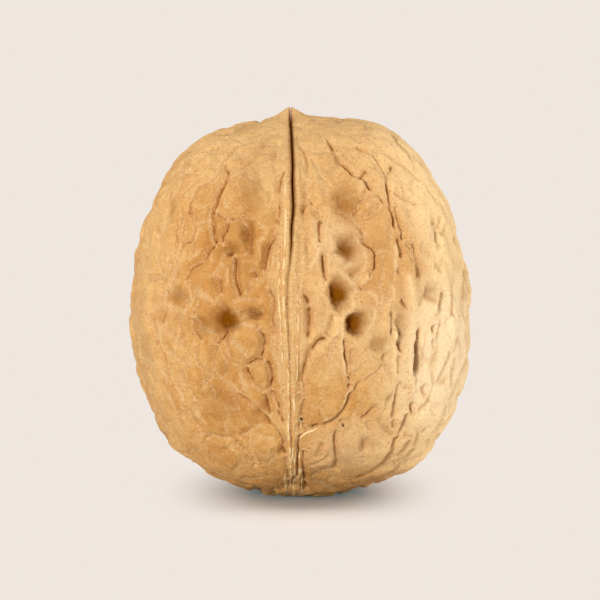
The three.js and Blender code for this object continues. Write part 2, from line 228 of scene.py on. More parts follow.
    (0.9, 0.18, "-", [(2.3, 7.15), (2.6, 7.35), (2.9, 7.5), (3.1, 7.55)]),
    (0.75, 0.18, "l", [(3.4, 7.6), (3.7, 7.65), (4.1, 7.8), (4.5, 8), (4.8, 8.3), (5, 8.5), (5.2, 8.8),
        (5.4, 9.2), (5.7, 9.6), (6, 10.1), (6.2, 10.5), (6.4, 10.9), (6.7, 11.2)]),
    (0.75, 0.2, "l", [(5.75, 17), (5.75, 16), (5.8, 15.3), (5.95, 14.6), (6.05, 14), (6.15, 13.2),
        (6.3, 12.8), (6.5, 12.4), (6.6, 12.1)]),
    (0.75, 0.22, "-", [(6.6, 12.1), (6.4, 11.8), (6.3, 11.4)]),
    (0.3, 0.25, "-", [(6.55, 16), (6.55, 14.8), (6.6, 13.6)]),
    (0.6, 0.18, "u", [(6.7, 11.2), (7.2, 11.5), (7.5, 11.9), (8, 12.3), (8.4, 12.6), (8.8, 12.95),
        (9.2, 13.25), (9.5, 13.5), (9.9, 13.9), (10.05, 14.2)]),
    (0.7, 0.18, "l", [(10.05, 14.2), (10.1, 14.5), (10.2, 14.9), (10.4, 15.4)]),
    (0.3, 0.15, "-", [(10.05, 14.1), (10.3, 13.9), (10.5, 13.75), (10.8, 13.3), (11.1, 12.8),
        (11.3, 12.2)]),
    (0.5, 0.17, "-", [(10.85, 20), (10.9, 19.2), (10.9, 18.4), (10.85, 17.6), (10.8, 17.2)]),
    (0.95, 0.25, "l", [(11.58, 16.7), (11.6, 16.4), (11.8, 16), (12, 15.6), (12.05, 15.1)]),
    (0.45, 0.25, "l", [(12.05, 15.1), (11.7, 14.8), (11.65, 14.3), (11.7, 13.5), (11.8, 13)]),
    (0.45, 0.18, "l", [(12.2, 12.2), (11.8, 11.9), (11.55, 11.5), (11.5, 11), (11.45, 10.5), (11.35, 10),
        (11.3, 9.5), (11.2, 9), (11, 8.5), (10.9, 8.2)]),
    (1, 0.36, "l", [(13.95, 17.9), (13.85, 17.2), (13.8, 16.6), (13.75, 16), (13.7, 15.4), (13.6, 14.8),
        (13.5, 14.2), (13.35, 13.6), (13.2, 13.1)]),
    (0.4, 0.18, "-", [(14.3, 11.95), (14.35, 11.5), (14.4, 11), (14.7, 10.5)]),
    (0.3, 0.18, "-", [(17.7, 15), (17.8, 14.6), (17.85, 14), (17.6, 13.4), (17.5, 12.7), (17.5, 12),
        (17.6, 11.5)]),
    (0.3, 0.18, "-", [(17.4, 10.5), (17.2, 10.1), (17.3, 9.6), (17.6, 9.3)]),
    (0.5, 0.18, "u", [(9.3, 9.7), (8.9, 9.3), (8.5, 8.9), (8.2, 8.5), (7.8, 8.3), (7.4, 8.2)]),
    (0.35, 0.16, "-", [(10.9, 8.2), (11.2, 7.6), (11.3, 7)]),
    (0.4, 0.16, "l", [(8, 8), (8.3, 7.8), (8.25, 7.4), (8.15, 6.8), (8.05, 6.2), (7.95, 5.6), (7.8, 5),
        (7.6, 4.6)]),
    (0.5, 0.18, "-", [(5.3, 8.3), (5.5, 7.9), (5.7, 7.6)]),
    (0.35, 0.18, "-", [(5.7, 7.6), (5.3, 7.4), (5.1, 7.1)]),
    (0.45, 0.19, "l", [(5.1, 7.1), (4.9, 6.6), (4.8, 6), (4.75, 5.4), (4.8, 4.8), (4.85, 4.2), (4.9, 3.6),
        (4.85, 3), (4.6, 2.5)]),
    (0.25, 0.3, "-", [(3.8, 5.8), (3.4, 5.3), (3.1, 4.8), (3, 4.2)]),
    (0.7, 0.22, "u", [(11.65, 6.3), (11.5, 6), (11.2, 5.5), (10.9, 5), (10.6, 4.6), (10.3, 4.1),
        (10.05, 3.8), (9.7, 3.4), (9.3, 3.1), (8.9, 2.8), (8.4, 2.5), (7.9, 2.2), (7.4, 1.9), (6.9, 1.7)]),
    (0.8, 0.24, "u", [(13.5, 4.8), (13.3, 4.5), (12.9, 4.1), (12.5, 3.7), (12, 3.3), (11.6, 2.9),
        (11.1, 2.5), (10.6, 2.1), (10, 1.8), (9.4, 1.5), (8.6, 1.2)]),
    (0.6, 0.18, "l", [(15, 6), (14.9, 5.6), (14.95, 5.1), (15, 4.6)]),
    (0.3, 0.18, "-", [(15, 6), (15.4, 6.5), (15.8, 7), (16.1, 7.6), (16.4, 8.2), (16.7, 9)]),
    (0.5, 0.2, "l", [(13.2, 10), (13.15, 9.6), (13.2, 9.1), (13.3, 8.6), (13.1, 8.3)]),
    (0.4, 0.3, "l", [(12.8, 8.7), (12.4, 7.8), (12, 7), (11.65, 6.3)]),
    (0.3, 0.18, "l", [(13.6, 7.5), (13.7, 7), (13.8, 6.2), (13.7, 5.5), (13.5, 4.8)]),
    (0.35, 0.18, "-", [(12.7, 5.8), (12.8, 5.5), (12.6, 5), (12.2, 4.6), (11.4, 4)]),
    # lower left
    (0.5, 0.2, "r", [(-6.9, 17.8), (-6.95, 16.5), (-6.85, 15.9), (-6.6, 15.3), (-6.2, 14.8)]),
    (0.35, 0.2, "d", [(-6.6, 18), (-5.8, 18.3), (-4.8, 18.45), (-3.8, 18.25)]),
    (0.8, 0.16, "-", [(-3.9, 18.25), (-3.6, 18.2), (-3.35, 18)]),
    (0.65, 0.17, "l", [(-3.3, 18), (-2.95, 17.5), (-2.75, 17), (-2.7, 16.4), (-2.85, 15.8), (-3, 15.2),
        (-3.1, 14.9)]),
    (0.6, 0.16, "d", [(-4.7, 14), (-4.3, 14.3), (-3.9, 14.6), (-3.4, 14.8), (-2.9, 14.75), (-2.6, 14.6)]),
    (0.85, 0.24, "l", [(-2.6, 14.6), (-2.25, 14.2), (-1.98, 13.6), (-1.88, 13.1), (-1.92, 12.5),
        (-2.05, 11.9), (-2.15, 11.6)]),
    (0.7, 0.2, "-", [(-2.15, 11.6), (-1.9, 11.35)]),
    (0.55, 0.22, "r", [(-4.5, 14), (-4.6, 13.3), (-4.25, 12.8), (-4, 12.2), (-3.6, 11.8), (-3, 11.5),
        (-2.5, 11.2)]),
    (0.5, 0.3, "-", [(-4.3, 11.95), (-4, 11.7)]),
    (0.6, 0.18, "-", [(-2.65, 11.2), (-2.6, 10.6), (-2.45, 10), (-2.4, 9.5), (-2.2, 9), (-2.1, 8.6)]),
    (0.7, 0.16, "l", [(-2.2, 11.3), (-1.9, 10.9), (-1.6, 10.5), (-1.35, 10), (-1.22, 9.5), (-1.2, 9),
        (-1, 8.7), (-0.8, 8.4), (-0.72, 8)]),
    (0.5, 0.19, "u", [(-10, 14.1), (-9.6, 13.8), (-9.2, 13.4), (-8.8, 13.2), (-8.3, 13), (-7.8, 12.75),
        (-7.4, 12.5), (-6.8, 12), (-6.3, 11.6), (-5.7, 11)]),
    (0.8, 0.25, "u", [(-5.7, 11), (-5, 10.45), (-4.2, 10), (-3.7, 9.5), (-3.2, 8.8), (-2.7, 8.4),
        (-2.4, 7.9), (-2.1, 7.5), (-1.5, 7.1), (-1.2, 6.8), (-0.8, 6.3)]),
    (0.9, 0.19, "-", [(-1.5, 7.1), (-1.2, 6.8), (-0.85, 6.35), (-0.75, 5.9), (-0.88, 5.4), (-0.65, 4.9),
        (-0.5, 4.6)]),
    (0.35, 0.22, "-", [(-6.6, 11.5), (-6.3, 11), (-6, 10.3), (-5.8, 9.6), (-5.7, 9)]),
    (0.45, 0.17, "-", [(-3.7, 7.1), (-4.1, 7), (-4.5, 6.7), (-5, 6.4), (-5.5, 6.2)]),
    (0.35, 0.19, "r", [(-4.3, 6.6), (-4.35, 6), (-4.2, 5.4), (-4.15, 5), (-3.9, 4.5), (-3.8, 4)]),
    (0.4, 0.17, "-", [(-6, 5.85), (-5.7, 5.6), (-5.2, 5.1), (-4.8, 4.8), (-4.5, 4.5), (-4.2, 4.1),
        (-3.9, 3.8), (-3.5, 3.4)]),
    (0.3, 0.22, "-", [(-4.2, 3.4), (-3.9, 3.3), (-3.6, 3)]),
    (0.3, 0.2, "-", [(-6.2, 5.9), (-7, 6.1), (-7.8, 6.3), (-8.6, 6.6), (-9, 6.8)]),
    (0.65, 0.19, "-", [(-6.9, 17.9), (-7.1, 17.5), (-7.3, 17), (-7.7, 16.6), (-7.95, 16.2)]),
    (0.65, 0.19, "r", [(-7.95, 16.2), (-8.05, 15.6), (-8.2, 15.2), (-8.35, 14.6), (-8.4, 14.2),
        (-8.3, 13.7), (-8.15, 13.3), (-7.8, 12.8)]),
    (0.45, 0.19, "-", [(-8.6, 16.9), (-8, 16.8), (-7.7, 16.6)]),
    (0.45, 0.3, "-", [(-6.95, 14.9), (-6.9, 14.2), (-6.9, 13.5), (-6.9, 12.9)]),
    (0.3, 0.3, "-", [(-11.4, 16.9), (-11.6, 16.4), (-11.7, 15.9)]),
    (0.3, 0.35, "-", [(-11.8, 13.7), (-11.7, 13), (-11.7, 12.3)]),
    (0.4, 0.22, "-", [(-10.75, 11.8), (-10.7, 11.1)]),
    (0.5, 0.18, "-", [(-10.5, 19.2), (-10.6, 18.4), (-10.5, 17.8), (-10.2, 17.3), (-10, 17), (-9.5, 16.6)]),
    (0.4, 0.17, "-", [(-10.5, 16), (-10.3, 15.5), (-10.3, 15), (-10.2, 14.6), (-10, 14.1)]),
    (0.35, 0.17, "-", [(-9.4, 11.5), (-9.3, 12), (-9.2, 12.3), (-8.6, 12.6), (-8.2, 12.9)]),
    (0.45, 0.3, "-", [(-14.3, 16.9), (-14.15, 16.2)]),
    (0.95, 0.27, "r", [(-14, 16), (-13.8, 15.6), (-13.6, 15.2), (-13.48, 14.8), (-13.45, 14.3),
        (-13.5, 14)]),
    (0.55, 0.24, "r", [(-13.1, 13.9), (-12.95, 13.3), (-12.8, 12.8), (-12.6, 12.3), (-12.5, 11.8),
        (-12.3, 11.3), (-12.1, 10.9), (-11.9, 10.4), (-11.6, 10), (-11.4, 9.6)]),
    (0.5, 0.18, "-", [(-14.8, 11.7), (-14.6, 11.2), (-14.4, 10.8), (-14.2, 10.4)]),
    (0.3, 0.18, "-", [(-14.5, 12.5), (-14.3, 12), (-14, 11.3), (-13.9, 10.8)]),
    (0.35, 0.16, "-", [(-16.45, 16.5), (-16.5, 16)]),
    (0.55, 0.19, "-", [(-10.9, 9.6), (-10.6, 9), (-10.55, 8.5), (-10.3, 8), (-10, 7.6), (-9.8, 7.2)]),
    (0.4, 0.18, "-", [(-10.4, 10.2), (-10.1, 9.7), (-10, 9.2), (-10, 8.7)]),
    (0.45, 0.24, "-", [(-11.5, 9.5), (-11.45, 9), (-11.3, 8.4)]),
    (0.5, 0.2, "r", [(-13.5, 8), (-13.3, 7.5), (-13.1, 7), (-12.9, 6.5), (-12.6, 6), (-12.45, 5.5),
        (-12.3, 5)]),
    (0.3, 0.2, "-", [(-12.2, 6.3), (-11.9, 6), (-11.6, 5.6)]),
    (0.5, 0.3, "u", [(-11, 4.8), (-10.7, 4.4), (-10.3, 4), (-9.9, 3.6), (-9.4, 3.2), (-9, 3)]),
    (0.4, 0.18, "-", [(-9, 6.7), (-8.7, 6.4), (-8.8, 6)]),
    # foot of the seam
    (0.6, 0.14, "-", [(-0.5, 4.6), (-0.35, 4.2), (-0.3, 3.6), (-0.28, 3), (-0.2, 2.4), (-0.15, 1.9)]),
    (0.95, 0.15, "-", [(-0.15, 1.9), (-0.1, 1.3), (0, 0.95), (0.15, 0.75), (0.35, 0.75), (0.3, 1.2),
        (0.3, 1.7), (0.35, 2.1), (0.45, 2.2)]),
    (0.5, 0.14, "-", [(-0.75, 2.5), (-0.68, 1.6), (-0.6, 0.9), (-0.4, 0.4)]),
    (0.95, 0.16, "-", [(1.2, 7), (1.1, 6.7), (0.95, 6.3), (0.9, 5.8), (0.88, 5.3), (0.85, 4.8), (0.82, 4.2),
        (0.78, 3.6), (0.72, 3), (0.7, 2.5), (0.7, 1.9)]),
    (0.5, 0.13, "-", [(1, 5.1), (1.3, 5.15), (1.4, 5)]),
    (0.7, 0.15, "-", [(1.4, 5.1), (1.4, 4.4), (1.38, 3.6), (1.35, 3), (1.4, 2.3), (1.4, 1.7), (1.45, 1.2)]),
    (1, 0.19, "-", [(1.45, 1.2), (1.55, 0.8), (1.7, 0.4), (1.85, 0.2)]),
]

# Dark specks: across, height, radius, strength.
frontSpecks = [
    (5.2, 37.6, 0.13, 0.8), (5.7, 36.8, 0.1, 0.7), (4.55, 32, 0.12, 0.9), (5.6, 31.6, 0.1, 0.8),
    (5.45, 31.25, 0.1, 0.7), (5.4, 31.9, 0.08, 0.6), (3.3, 29.3, 0.12, 0.9), (2.3, 3, 0.14, 0.9),
    (5.65, 7.6, 0.18, 1), (-6.15, 14.7, 0.12, 0.8), (-5.2, 13.5, 0.1, 0.7), (-10.45, 6.1, 0.16, 0.6),
    (4.3, 30.2, 0.1, 0.6), (6.5, 23.7, 0.1, 0.8), (12, 17.35, 0.14, 0.9), (-1.1, 18.3, 0.08, 0.7),
    (-0.8, 11.4, 0.12, 0.8), (-9.2, 12.3, 0.1, 0.7), (4.85, 2.9, 0.1, 0.8), (2.4, 13.5, 0.1, 0.7),
    (3.8, 8.15, 0.1, 0.7), (-8.7, 4.8, 0.1, 0.7), (-9.2, 4.7, 0.1, 0.6), (1.1, 8.3, 0.24, 1),
    (5.3, 16.6, 0.09, 0.6), (9.2, 15.7, 0.1, 0.7), (8.1, 14.4, 0.08, 0.6), (11.9, 17.5, 0.16, 0.9),
    (-12.6, 29.5, 0.1, 0.5),
]

# The straw band along the seam: height, left edge, right edge.
frontBand = [
    (42, -0.3, 0.3), (39, -0.55, 0.35), (36, -1.1, 0.55), (32, -1.3, 0.8), (28.5, -1.5, 1.2),
    (25, -2.3, 1.7), (21, -1.9, 1.95), (17, -1.8, 2), (14, -1.25, 1.4), (12, -1.0, 1.2), (8, -0.75, 1.0),
    (5, -0.65, 0.9), (2, -0.6, 1.2), (0, -0.6, 1.4),
]
backBand = [
    (42, -0.4, 0.4), (37, -0.9, 0.9), (30, -1.4, 1.3), (22, -1.9, 1.7), (14, -1.5, 1.6), (8, -1, 1.1),
    (0, -0.6, 0.7),
]
# Stripes that run with the seam: rows of height and distance from the crack, half width, tone (s straw,
# m mauve), strength.
seamStripes = [
    ([(31, -0.32), (27, -0.36), (24, -0.4), (21, -0.42), (18, -0.34), (14, -0.3)], 0.17, "s", 1),
    ([(31, 0.28), (26, 0.32), (22, 0.42), (18, 0.4), (14, 0.42), (10, 0.4), (5, 0.3), (2.5, 0.25)],
     0.15, "s", 0.9),
    ([(29, -1.5), (26, -1.35), (22, -1.15), (19, -1.05)], 0.12, "s", 0.55),
    ([(12, -0.25), (8, -0.3), (5, -0.28), (2, -0.3)], 0.12, "s", 0.9),
    ([(30, 0.75), (27, 0.8), (24, 0.95), (21, 1.15), (18, 1.15), (15, 0.95), (13, 0.85)], 0.24, "m", 0.8),
    ([(28, -0.8), (24, -0.78), (21, -0.8), (17, -0.75), (13, -0.6)], 0.14, "m", 0.45),
    ([(24, 1.7), (20, 1.75), (17, 1.6)], 0.16, "m", 0.5),
]

# Where the two halves meet, and how far they gape there: height, across, gap.
frontCrack = [
    (42, 0, 0.12), (41.4, -0.05, 0.2), (40, 0.05, 0.26), (38.5, 0.15, 0.26), (37, 0.2, 0.26),
    (35, 0.28, 0.27), (34, 0.22, 0.28), (33, 0.25, 0.28), (31, 0.32, 0.27), (30, 0.28, 0.26),
    (29.2, 0.16, 0.24), (28, 0.12, 0.2), (27, 0.12, 0.16), (26.2, 0.08, 0.13), (25.2, 0, 0.11),
    (24.2, -0.12, 0.1), (23.4, -0.24, 0.1), (22.2, -0.28, 0.09), (21, -0.32, 0.09), (19.8, -0.28, 0.08),
    (19, -0.24, 0.08), (18, -0.16, 0.07), (15, -0.05, 0.06), (12, 0.05, 0.04), (9, 0.08, 0.03),
    (5, 0.1, 0.03), (2, 0.1, 0.05), (0, 0.1, 0.06),
]
backCrack = [
    (42, 0, 0.12), (40, -0.05, 0.2), (37, -0.15, 0.18), (34, -0.2, 0.15), (30, 0.05, 0.12),
    (26, 0.2, 0.09), (21, 0.1, 0.07), (16, -0.1, 0.05), (10, 0.05, 0.04), (5, 0.1, 0.04), (0, 0.1, 0.06),
]

# Rounded ridges, paler on their crests, partly in their own colour and partly as painted highlight: rise,
# half width, paleness, points.
frontRidges = [
    (0.22, 0.5, 0.8, [(4.9, 27), (5.2, 25.8), (6, 25.2), (6.8, 25)]),
    (0.2, 0.4, 0.8, [(5.4, 24.2), (6.4, 23.2), (6.9, 22.4)]),
    (0.16, 0.22, 0.7, [(8.2, 23.9), (7.8, 23), (7.4, 22.4)]),
    (0.14, 0.25, 0.8, [(7.4, 22.1), (6.8, 21.9), (6.5, 21.4), (6.5, 21), (6.7, 20.6), (6.6, 20),
        (5.9, 19.4), (5.6, 18.5), (5.5, 17.4), (5.4, 16), (5.7, 14.2), (5.9, 12.8)]),
    (0.1, 0.22, 0.6, [(7.9, 22), (8.8, 21.6), (9.36, 20.8), (9.1, 19.8), (9.04, 19), (8.7, 18.2),
        (8.2, 17.3)]),
    (0.08, 0.2, 0.6, [(10.4, 22.9), (10.9, 22.4), (11.1, 21.8), (10.8, 20.8), (10.3, 20.5), (9.5, 20.8)]),
    (0.1, 0.25, 0.6, [(2.64, 29.8), (2.9, 28.6), (2.8, 27.6), (2.5, 26.4)]),
    (0.1, 0.2, 0.7, [(3.04, 26.8), (2.8, 25.4), (2.3, 24.8), (1.9, 24.2)]),
    (0.1, 0.16, 0.9, [(5.2, 9.2), (5.6, 10), (6, 10.8), (6.3, 11.3), (6.9, 11.6)]),
    (0.12, 0.2, 0.8, [(10, 14.1), (10.15, 14.8), (10.4, 15.6), (10.7, 16.4)]),
    (0.1, 0.16, 0.7, [(8, 12.5), (8.8, 13.15), (9.6, 13.75), (10, 14.1)]),
    (0.14, 0.3, 0.9, [(11.2, 19), (11.25, 17.4), (11.2, 15.6), (11.3, 14), (11.4, 12.6)]),
    (0.12, 0.2, 0.8, [(11.3, 12), (11.35, 11), (11.1, 10.2), (10.6, 9.8), (9.8, 9.4)]),
    (0.12, 0.25, 0.9, [(13.6, 17.6), (13.45, 16), (13.3, 14.6), (13, 13), (12.95, 11.5), (13, 10.4)]),
    (0.1, 0.18, 0.7, [(12.6, 8.6), (12.1, 7.6), (11.6, 6.5), (10.9, 5.4), (10.2, 4.3), (9.6, 3.6)]),
    (0.08, 0.16, 0.7, [(7.95, 7.7), (8.05, 7.2), (7.95, 6.2), (7.8, 5.2), (7.5, 4.5)]),
    (0.08, 0.2, 0.6, [(4.6, 7.2), (4.5, 6.3), (4.45, 5), (4.6, 4), (4.7, 3), (4.3, 2.3)]),
    (0.1, 0.2, 0.6, [(-8.05, 15.2), (-8.15, 14.3), (-7.95, 13.4), (-7.4, 12.75), (-6.6, 12.15),
        (-5.8, 11.5), (-5, 10.9), (-4.2, 10.3), (-3.5, 9.55), (-3, 9), (-2.3, 8.4)]),
    (0.1, 0.2, 0.5, [(-12.6, 13.8), (-12.3, 12.6), (-12, 11.5), (-11.5, 10.5), (-11.1, 9.8)]),
    (0.08, 0.2, 0.5, [(-13.4, 19.5), (-13.7, 18.3), (-14, 17), (-13.7, 16), (-13.3, 15.2)]),
    (0.08, 0.22, 0.5, [(-9.8, 9.4), (-9.6, 8.7), (-9.2, 8.1), (-8.8, 7.7)]),
    (0.1, 0.16, 0.5, [(-2.3, 14.2), (-2.2, 13.5), (-2.15, 12.7), (-2.3, 12)]),
    (0.12, 0.14, 1, [(-1.75, 10.55), (-1.45, 10.1), (-1.3, 9.6), (-1.28, 9.2)]),
    (0.12, 0.3, 0.8, [(11.4, 27.2), (11.2, 26.2), (11.3, 25.2), (11.4, 24)]),
    (0.14, 0.5, 0.9, [(12.4, 24), (12.6, 22.4), (12.9, 21.2), (13.6, 20)]),
    (0.1, 0.3, 0.7, [(14.8, 24.9), (15.4, 24.5), (15.5, 23.4), (15.8, 22.4), (15.9, 21.4), (15.4, 19.6)]),
    (0.06, 0.2, 0.5, [(4.3, 20.2), (4.9, 18.8), (5, 17.6), (4.3, 17.2)]),
]

# Reading the form.
def smoothStep(low, high, value):
    share = np.clip((value - low) / (high - low), 0, 1)
    return share * share * (3 - 2 * share)


def softLine(points, perPart=12):  # smooth line through listed points
    row = np.array(points, float)
    last = len(row) - 1
    spots = []
    for part in range(last):
        before, start, end, after = (row[min(max(k, 0), last)] for k in range(part - 1, part + 3))
        for step in range(perPart):
            t = step / perPart
            bend = 2 * before - 5 * start + 4 * end - after
            twist = 3 * start - before - 3 * end + after
            spots.append(0.5 * (2 * start + (end - before) * t + bend * t * t + twist * t ** 3))
    spots.append(row[last])
    return np.array(spots)


def outlineReach(outline):  # distance from the heart, against the angle down from the tip
    line = softLine([(out, up - form["heartHeight"]) for out, up in outline], 60)
    angle = np.arctan2(line[:, 0], line[:, 1])
    reach = np.hypot(line[:, 0], line[:, 1])
    return lambda down: np.interp(down, angle, reach)


rightReach = outlineReach(form["right"])
leftReach = outlineReach(form["left"])
seamReach = outlineReach(form["seam"])
heart = np.array([0, 0, form["heartHeight"]])


def smoothPoints(aim):  # where directions from the heart meet the smooth form
    down = np.arccos(np.clip(aim[:, 2], -1, 1))
    level = np.maximum(np.hypot(aim[:, 0], aim[:, 1]), 1e-9)
    side = np.where(aim[:, 0] < 0, leftReach(down), rightReach(down))
    power = form["roundness"]
    sideShare = np.abs(aim[:, 0]) / level / side
    seamShare = np.abs(aim[:, 1]) / level / seamReach(down)
    total = sideShare ** power + seamShare ** power
    reach = np.where(total > 1e-9, np.maximum(total, 1e-9) ** (-1 / power), seamReach(down))
    return heart + aim * reach[:, None]


def onFace(points, back=False):  # lifts (across, height) points onto the front or the back
    flat = np.array(points, float)
    depth = np.full(len(flat), 17.0)
    height = flat[:, 1]
    for step in range(16):
        if not back:
            height = (flat[:, 1] + form["seenBase"] + depth * lookIn) / lookUp
        aim = np.stack([flat[:, 0], depth if back else -depth, height - form["heartHeight"]], 1)
        length = np.linalg.norm(aim, axis=1)
        found = np.linalg.norm(smoothPoints(aim / length[:, None]) - heart, axis=1)
        depth = depth * np.clip(found / length, 0.05, 3)
    return np.stack([flat[:, 0], depth if back else -depth, height], 1)


def seenHeight(points):  # the height that the front's lists mean
    return points[:, 2] * lookUp + points[:, 1] * lookIn - form["seenBase"]


# Noise.
def lattice(cells, seed):  # a fixed random value for each whole-number cell
    x, y, z = (cells[:, k].astype(np.uint64) for k in range(3))
    mixed = (x * np.uint64(73856093)) ^ (y * np.uint64(19349663)) ^ (z * np.uint64(83492791))
    mixed = mixed ^ np.uint64(seed * 2654435761)
    mixed = (mixed ^ (mixed >> np.uint64(13))) * np.uint64(1274126177)
    mixed = mixed ^ (mixed >> np.uint64(16))
    return (mixed & np.uint64(0xFFFFF)).astype(float) / 0xFFFFF


def noise(points, size, seed, layers=1):  # smooth noise, about -1 to 1
    total = np.zeros(len(points))
    share, sizeNow, whole = 1.0, size, 0.0
    for layer in range(layers):
        place = points / sizeNow + 1000 + 17.3 * layer
        cell = np.floor(place)
        part = place - cell
        part = part * part * part * (part * (part * 6 - 15) + 10)
        cell = cell.astype(np.int64)
        value = 0
        for corner in range(8):
            step = np.array([corner & 1, (corner >> 1) & 1, corner >> 2])
            weight = np.prod(np.where(step, part, 1 - part), axis=1)
            value = value + weight * lattice(cell + step, seed + layer)
        total += share * (value * 2 - 1)
        whole += share
        share, sizeNow = share * 0.5, sizeNow * 0.5
    return total / whole


# Relief.
tintNames = ("vein", "pale", "hollow", "valley", "dust", "straw", "mauve", "speck", "crack")

veinLook = {
    "around": 2.0,  # how far from its line a vein is felt
    "thin": 0.48, "leastWidth": 0.015,  # the dark line's half width, as a share of the listed one, and more
    "darkFrom": 0.1, "darkBy": 0.7,
    "faint": 0.4, "faintFrom": 0.1, "faintBy": 0.3,  # how dark the weakest lines are
    "presentBy": 0.25,
    "depth": 0.23,  # of the strongest vein's line
    "threadWidth": 0.17, "threadRise": 0.055, "threadPaleness": 0.7, "threadHidden": 0.85,
    "valleyDepth": 0.68, "valleyWidth": 0.5,  # of the soft trough around it
    "dustWidth": 0.3,
    "step": 0.22, "stepWidth": 0.9, "stepEdge": 0.14,  # how far the higher side stands up
    "lipAt": 0.26, "lipWidth": 0.13, "lipPaleness": 0.45,
    "endStrength": 0.3, "fadeLength": 0.4,  # a vein thins out at its ends
    "patchMean": 0.9, "patchBy": 0.5, "patchSize": 1.7, "patchLeast": 0.5, "patchMost": 1.2,
}
plateLook = {"squareness": 4, "through": 6, "rise": 1.6}
hollowLook = {"ragged": 3, "steepness": 1.3, "fullDepth": 0.9, "darkest": 1.15}
wander = {  # how far lines stray from where they are listed, and how their width and darkness change
    "far": 0.13, "size": 1.0, "finely": 0.035, "fineSize": 0.28,
    "widthBy": 0.4, "widthSize": 1.3, "darknessBy": 0.45, "darknessSize": 1.9,
}


class Relief:
    # gathers rises, dips and tints over one half of the shell
    def __init__(self, points):
        self.points = points
        wave = [wander["far"] * noise(points, wander["size"], 61 + k, 2)
                + wander["finely"] * noise(points, wander["fineSize"], 66 + k) for k in range(3)]
        self.wavy = points + np.stack(wave, 1)  # so that no vein runs quite smoothly
        self.widths = 1 + wander["widthBy"] * noise(points, wander["widthSize"], 71)
        self.darkness = 1 + wander["darknessBy"] * noise(points, wander["darknessSize"], 72, 2)
        self.rise = np.zeros(len(points))
        self.groove = np.zeros(len(points))
        self.thread = np.zeros(len(points))
        self.tints = {name: np.zeros(len(points)) for name in tintNames}
        chosen = np.nonzero(points[:, 1] < 4)[0]
        self.front = chosen[np.argsort(points[chosen, 2], kind="stable")]  # vertices, lowest first

    def near(self, line, margin):  # the front's vertices around a line
        height = self.points[self.front, 2]
        low = np.searchsorted(height, line[:, 2].min() - margin)
        high = np.searchsorted(height, line[:, 2].max() + margin)
        chosen = self.front[low:high]
        across = self.points[chosen, 0]
        return chosen[(across > line[:, 0].min() - margin) & (across < line[:, 0].max() + margin)]

    def distance(self, line, chosen):  # to the line, with the share along it and the side of it
        spots = self.wavy[chosen]
        best = np.full(len(chosen), 1e9)
        along = np.zeros(len(chosen))
        side = np.zeros(len(chosen))
        parts = np.linalg.norm(np.diff(line, axis=0), axis=1)
        begun = np.concatenate([[0], np.cumsum(parts)])
        for k in range(len(line) - 1):
            run = line[k + 1] - line[k]
            away = spots - line[k]
            t = np.clip(away @ run / max(run @ run, 1e-9), 0, 1)
            gap = away - t[:, None] * run
            far = np.einsum("ij,ij->i", gap, gap)
            closer = far < best
            best[closer] = far[closer]
            along[closer] = begun[k] + t[closer] * parts[k]
            level = max(math.hypot(run[0], run[2]), 1e-9)
            side[closer] = (gap[closer, 0] * run[2] - gap[closer, 2] * run[0]) / level
        return np.sqrt(best), along, begun[-1], side

    def deepen(self, name, chosen, values):  # keeps the stronger of two tints
        self.tints[name][chosen] = np.maximum(self.tints[name][chosen], values)

    # a dusty trough between plates, with a pale or a dark line in it; the dark line is partly the vein's own
    # colour and partly painted shade in its groove
    def vein(self, chosen, far, strength, halfWidth):
        look = veinLook
        dark = smoothStep(look["darkFrom"], look["darkBy"], strength)
        core = np.exp(-(far / (halfWidth * self.widths[chosen])) ** 2)
        faint = look["faint"] * smoothStep(look["faintFrom"], look["faintBy"], strength)
        darkNow = np.clip(np.maximum(dark, faint) * self.darkness[chosen], 0, 1)
        self.deepen("vein", chosen, darkNow * core)
        self.groove[chosen] = np.maximum(self.groove[chosen], darkNow * core)
        present = smoothStep(0, look["presentBy"], strength)
        thread = present * (1 - look["threadHidden"] * dark) * np.exp(-(far / look["threadWidth"]) ** 2)
        self.deepen("pale", chosen, look["threadPaleness"] * thread)
        self.thread[chosen] = np.maximum(self.thread[chosen], thread)
        trough = np.exp(-(far / look["valleyWidth"]) ** 2)
        self.deepen("valley", chosen, present * (0.35 + 0.65 * strength) * trough)
        self.deepen("dust", chosen, present * np.exp(-(far / look["dustWidth"]) ** 2.4))


def fadeAtEnds(along, length, fadeLength):
    return smoothStep(0, fadeLength, np.minimum(along, length - along))


def cutVein(relief, strength, halfWidth, higher, points):
    look = veinLook
    line = onFace(softLine(points, 4))
    chosen = relief.near(line, look["around"])
    far, along, length, side = relief.distance(line, chosen)
    fade = look["endStrength"] + (1 - look["endStrength"]) * fadeAtEnds(along, length, look["fadeLength"])
    patch = look["patchMean"] + look["patchBy"] * noise(relief.points[chosen], look["patchSize"], 77)
    fade = fade * np.clip(patch, look["patchLeast"], look["patchMost"])
    relief.vein(chosen, far, strength * fade, look["thin"] * halfWidth + look["leastWidth"])
    if higher != "-":
        run = line[-1] - line[0]
        normal = np.array([run[2], -run[0]])
        want = {"l": (-1, 0), "r": (1, 0), "u": (0, 1), "d": (0, -1)}[higher]
        side = side if normal @ np.array(want) > 0 else -side
        ledge = np.tanh(side / look["stepEdge"]) * np.exp(-(far / look["stepWidth"]) ** 2)
        relief.rise[chosen] += look["step"] * strength * fade * ledge * 0.5
        # painted highlight: the higher side's lip is paler, partly in its own colour
        lip = np.exp(-((far - look["lipAt"]) / look["lipWidth"]) ** 2) * (side > 0)
        relief.deepen("pale", chosen, look["lipPaleness"] * strength * fade * lip)


def raiseRidge(relief, rise, halfWidth, paleness, points):
    line = onFace(softLine(points, 4))
    chosen = relief.near(line, 3 * halfWidth)
    far, along, length = relief.distance(line, chosen)[:3]
    crest = fadeAtEnds(along + 0.1, length + 0.2, 0.6) * np.exp(-(far / halfWidth) ** 2)
    relief.rise[chosen] += rise * crest
    # the crest is paler, partly painted highlight
    relief.deepen("pale", chosen, paleness * crest)


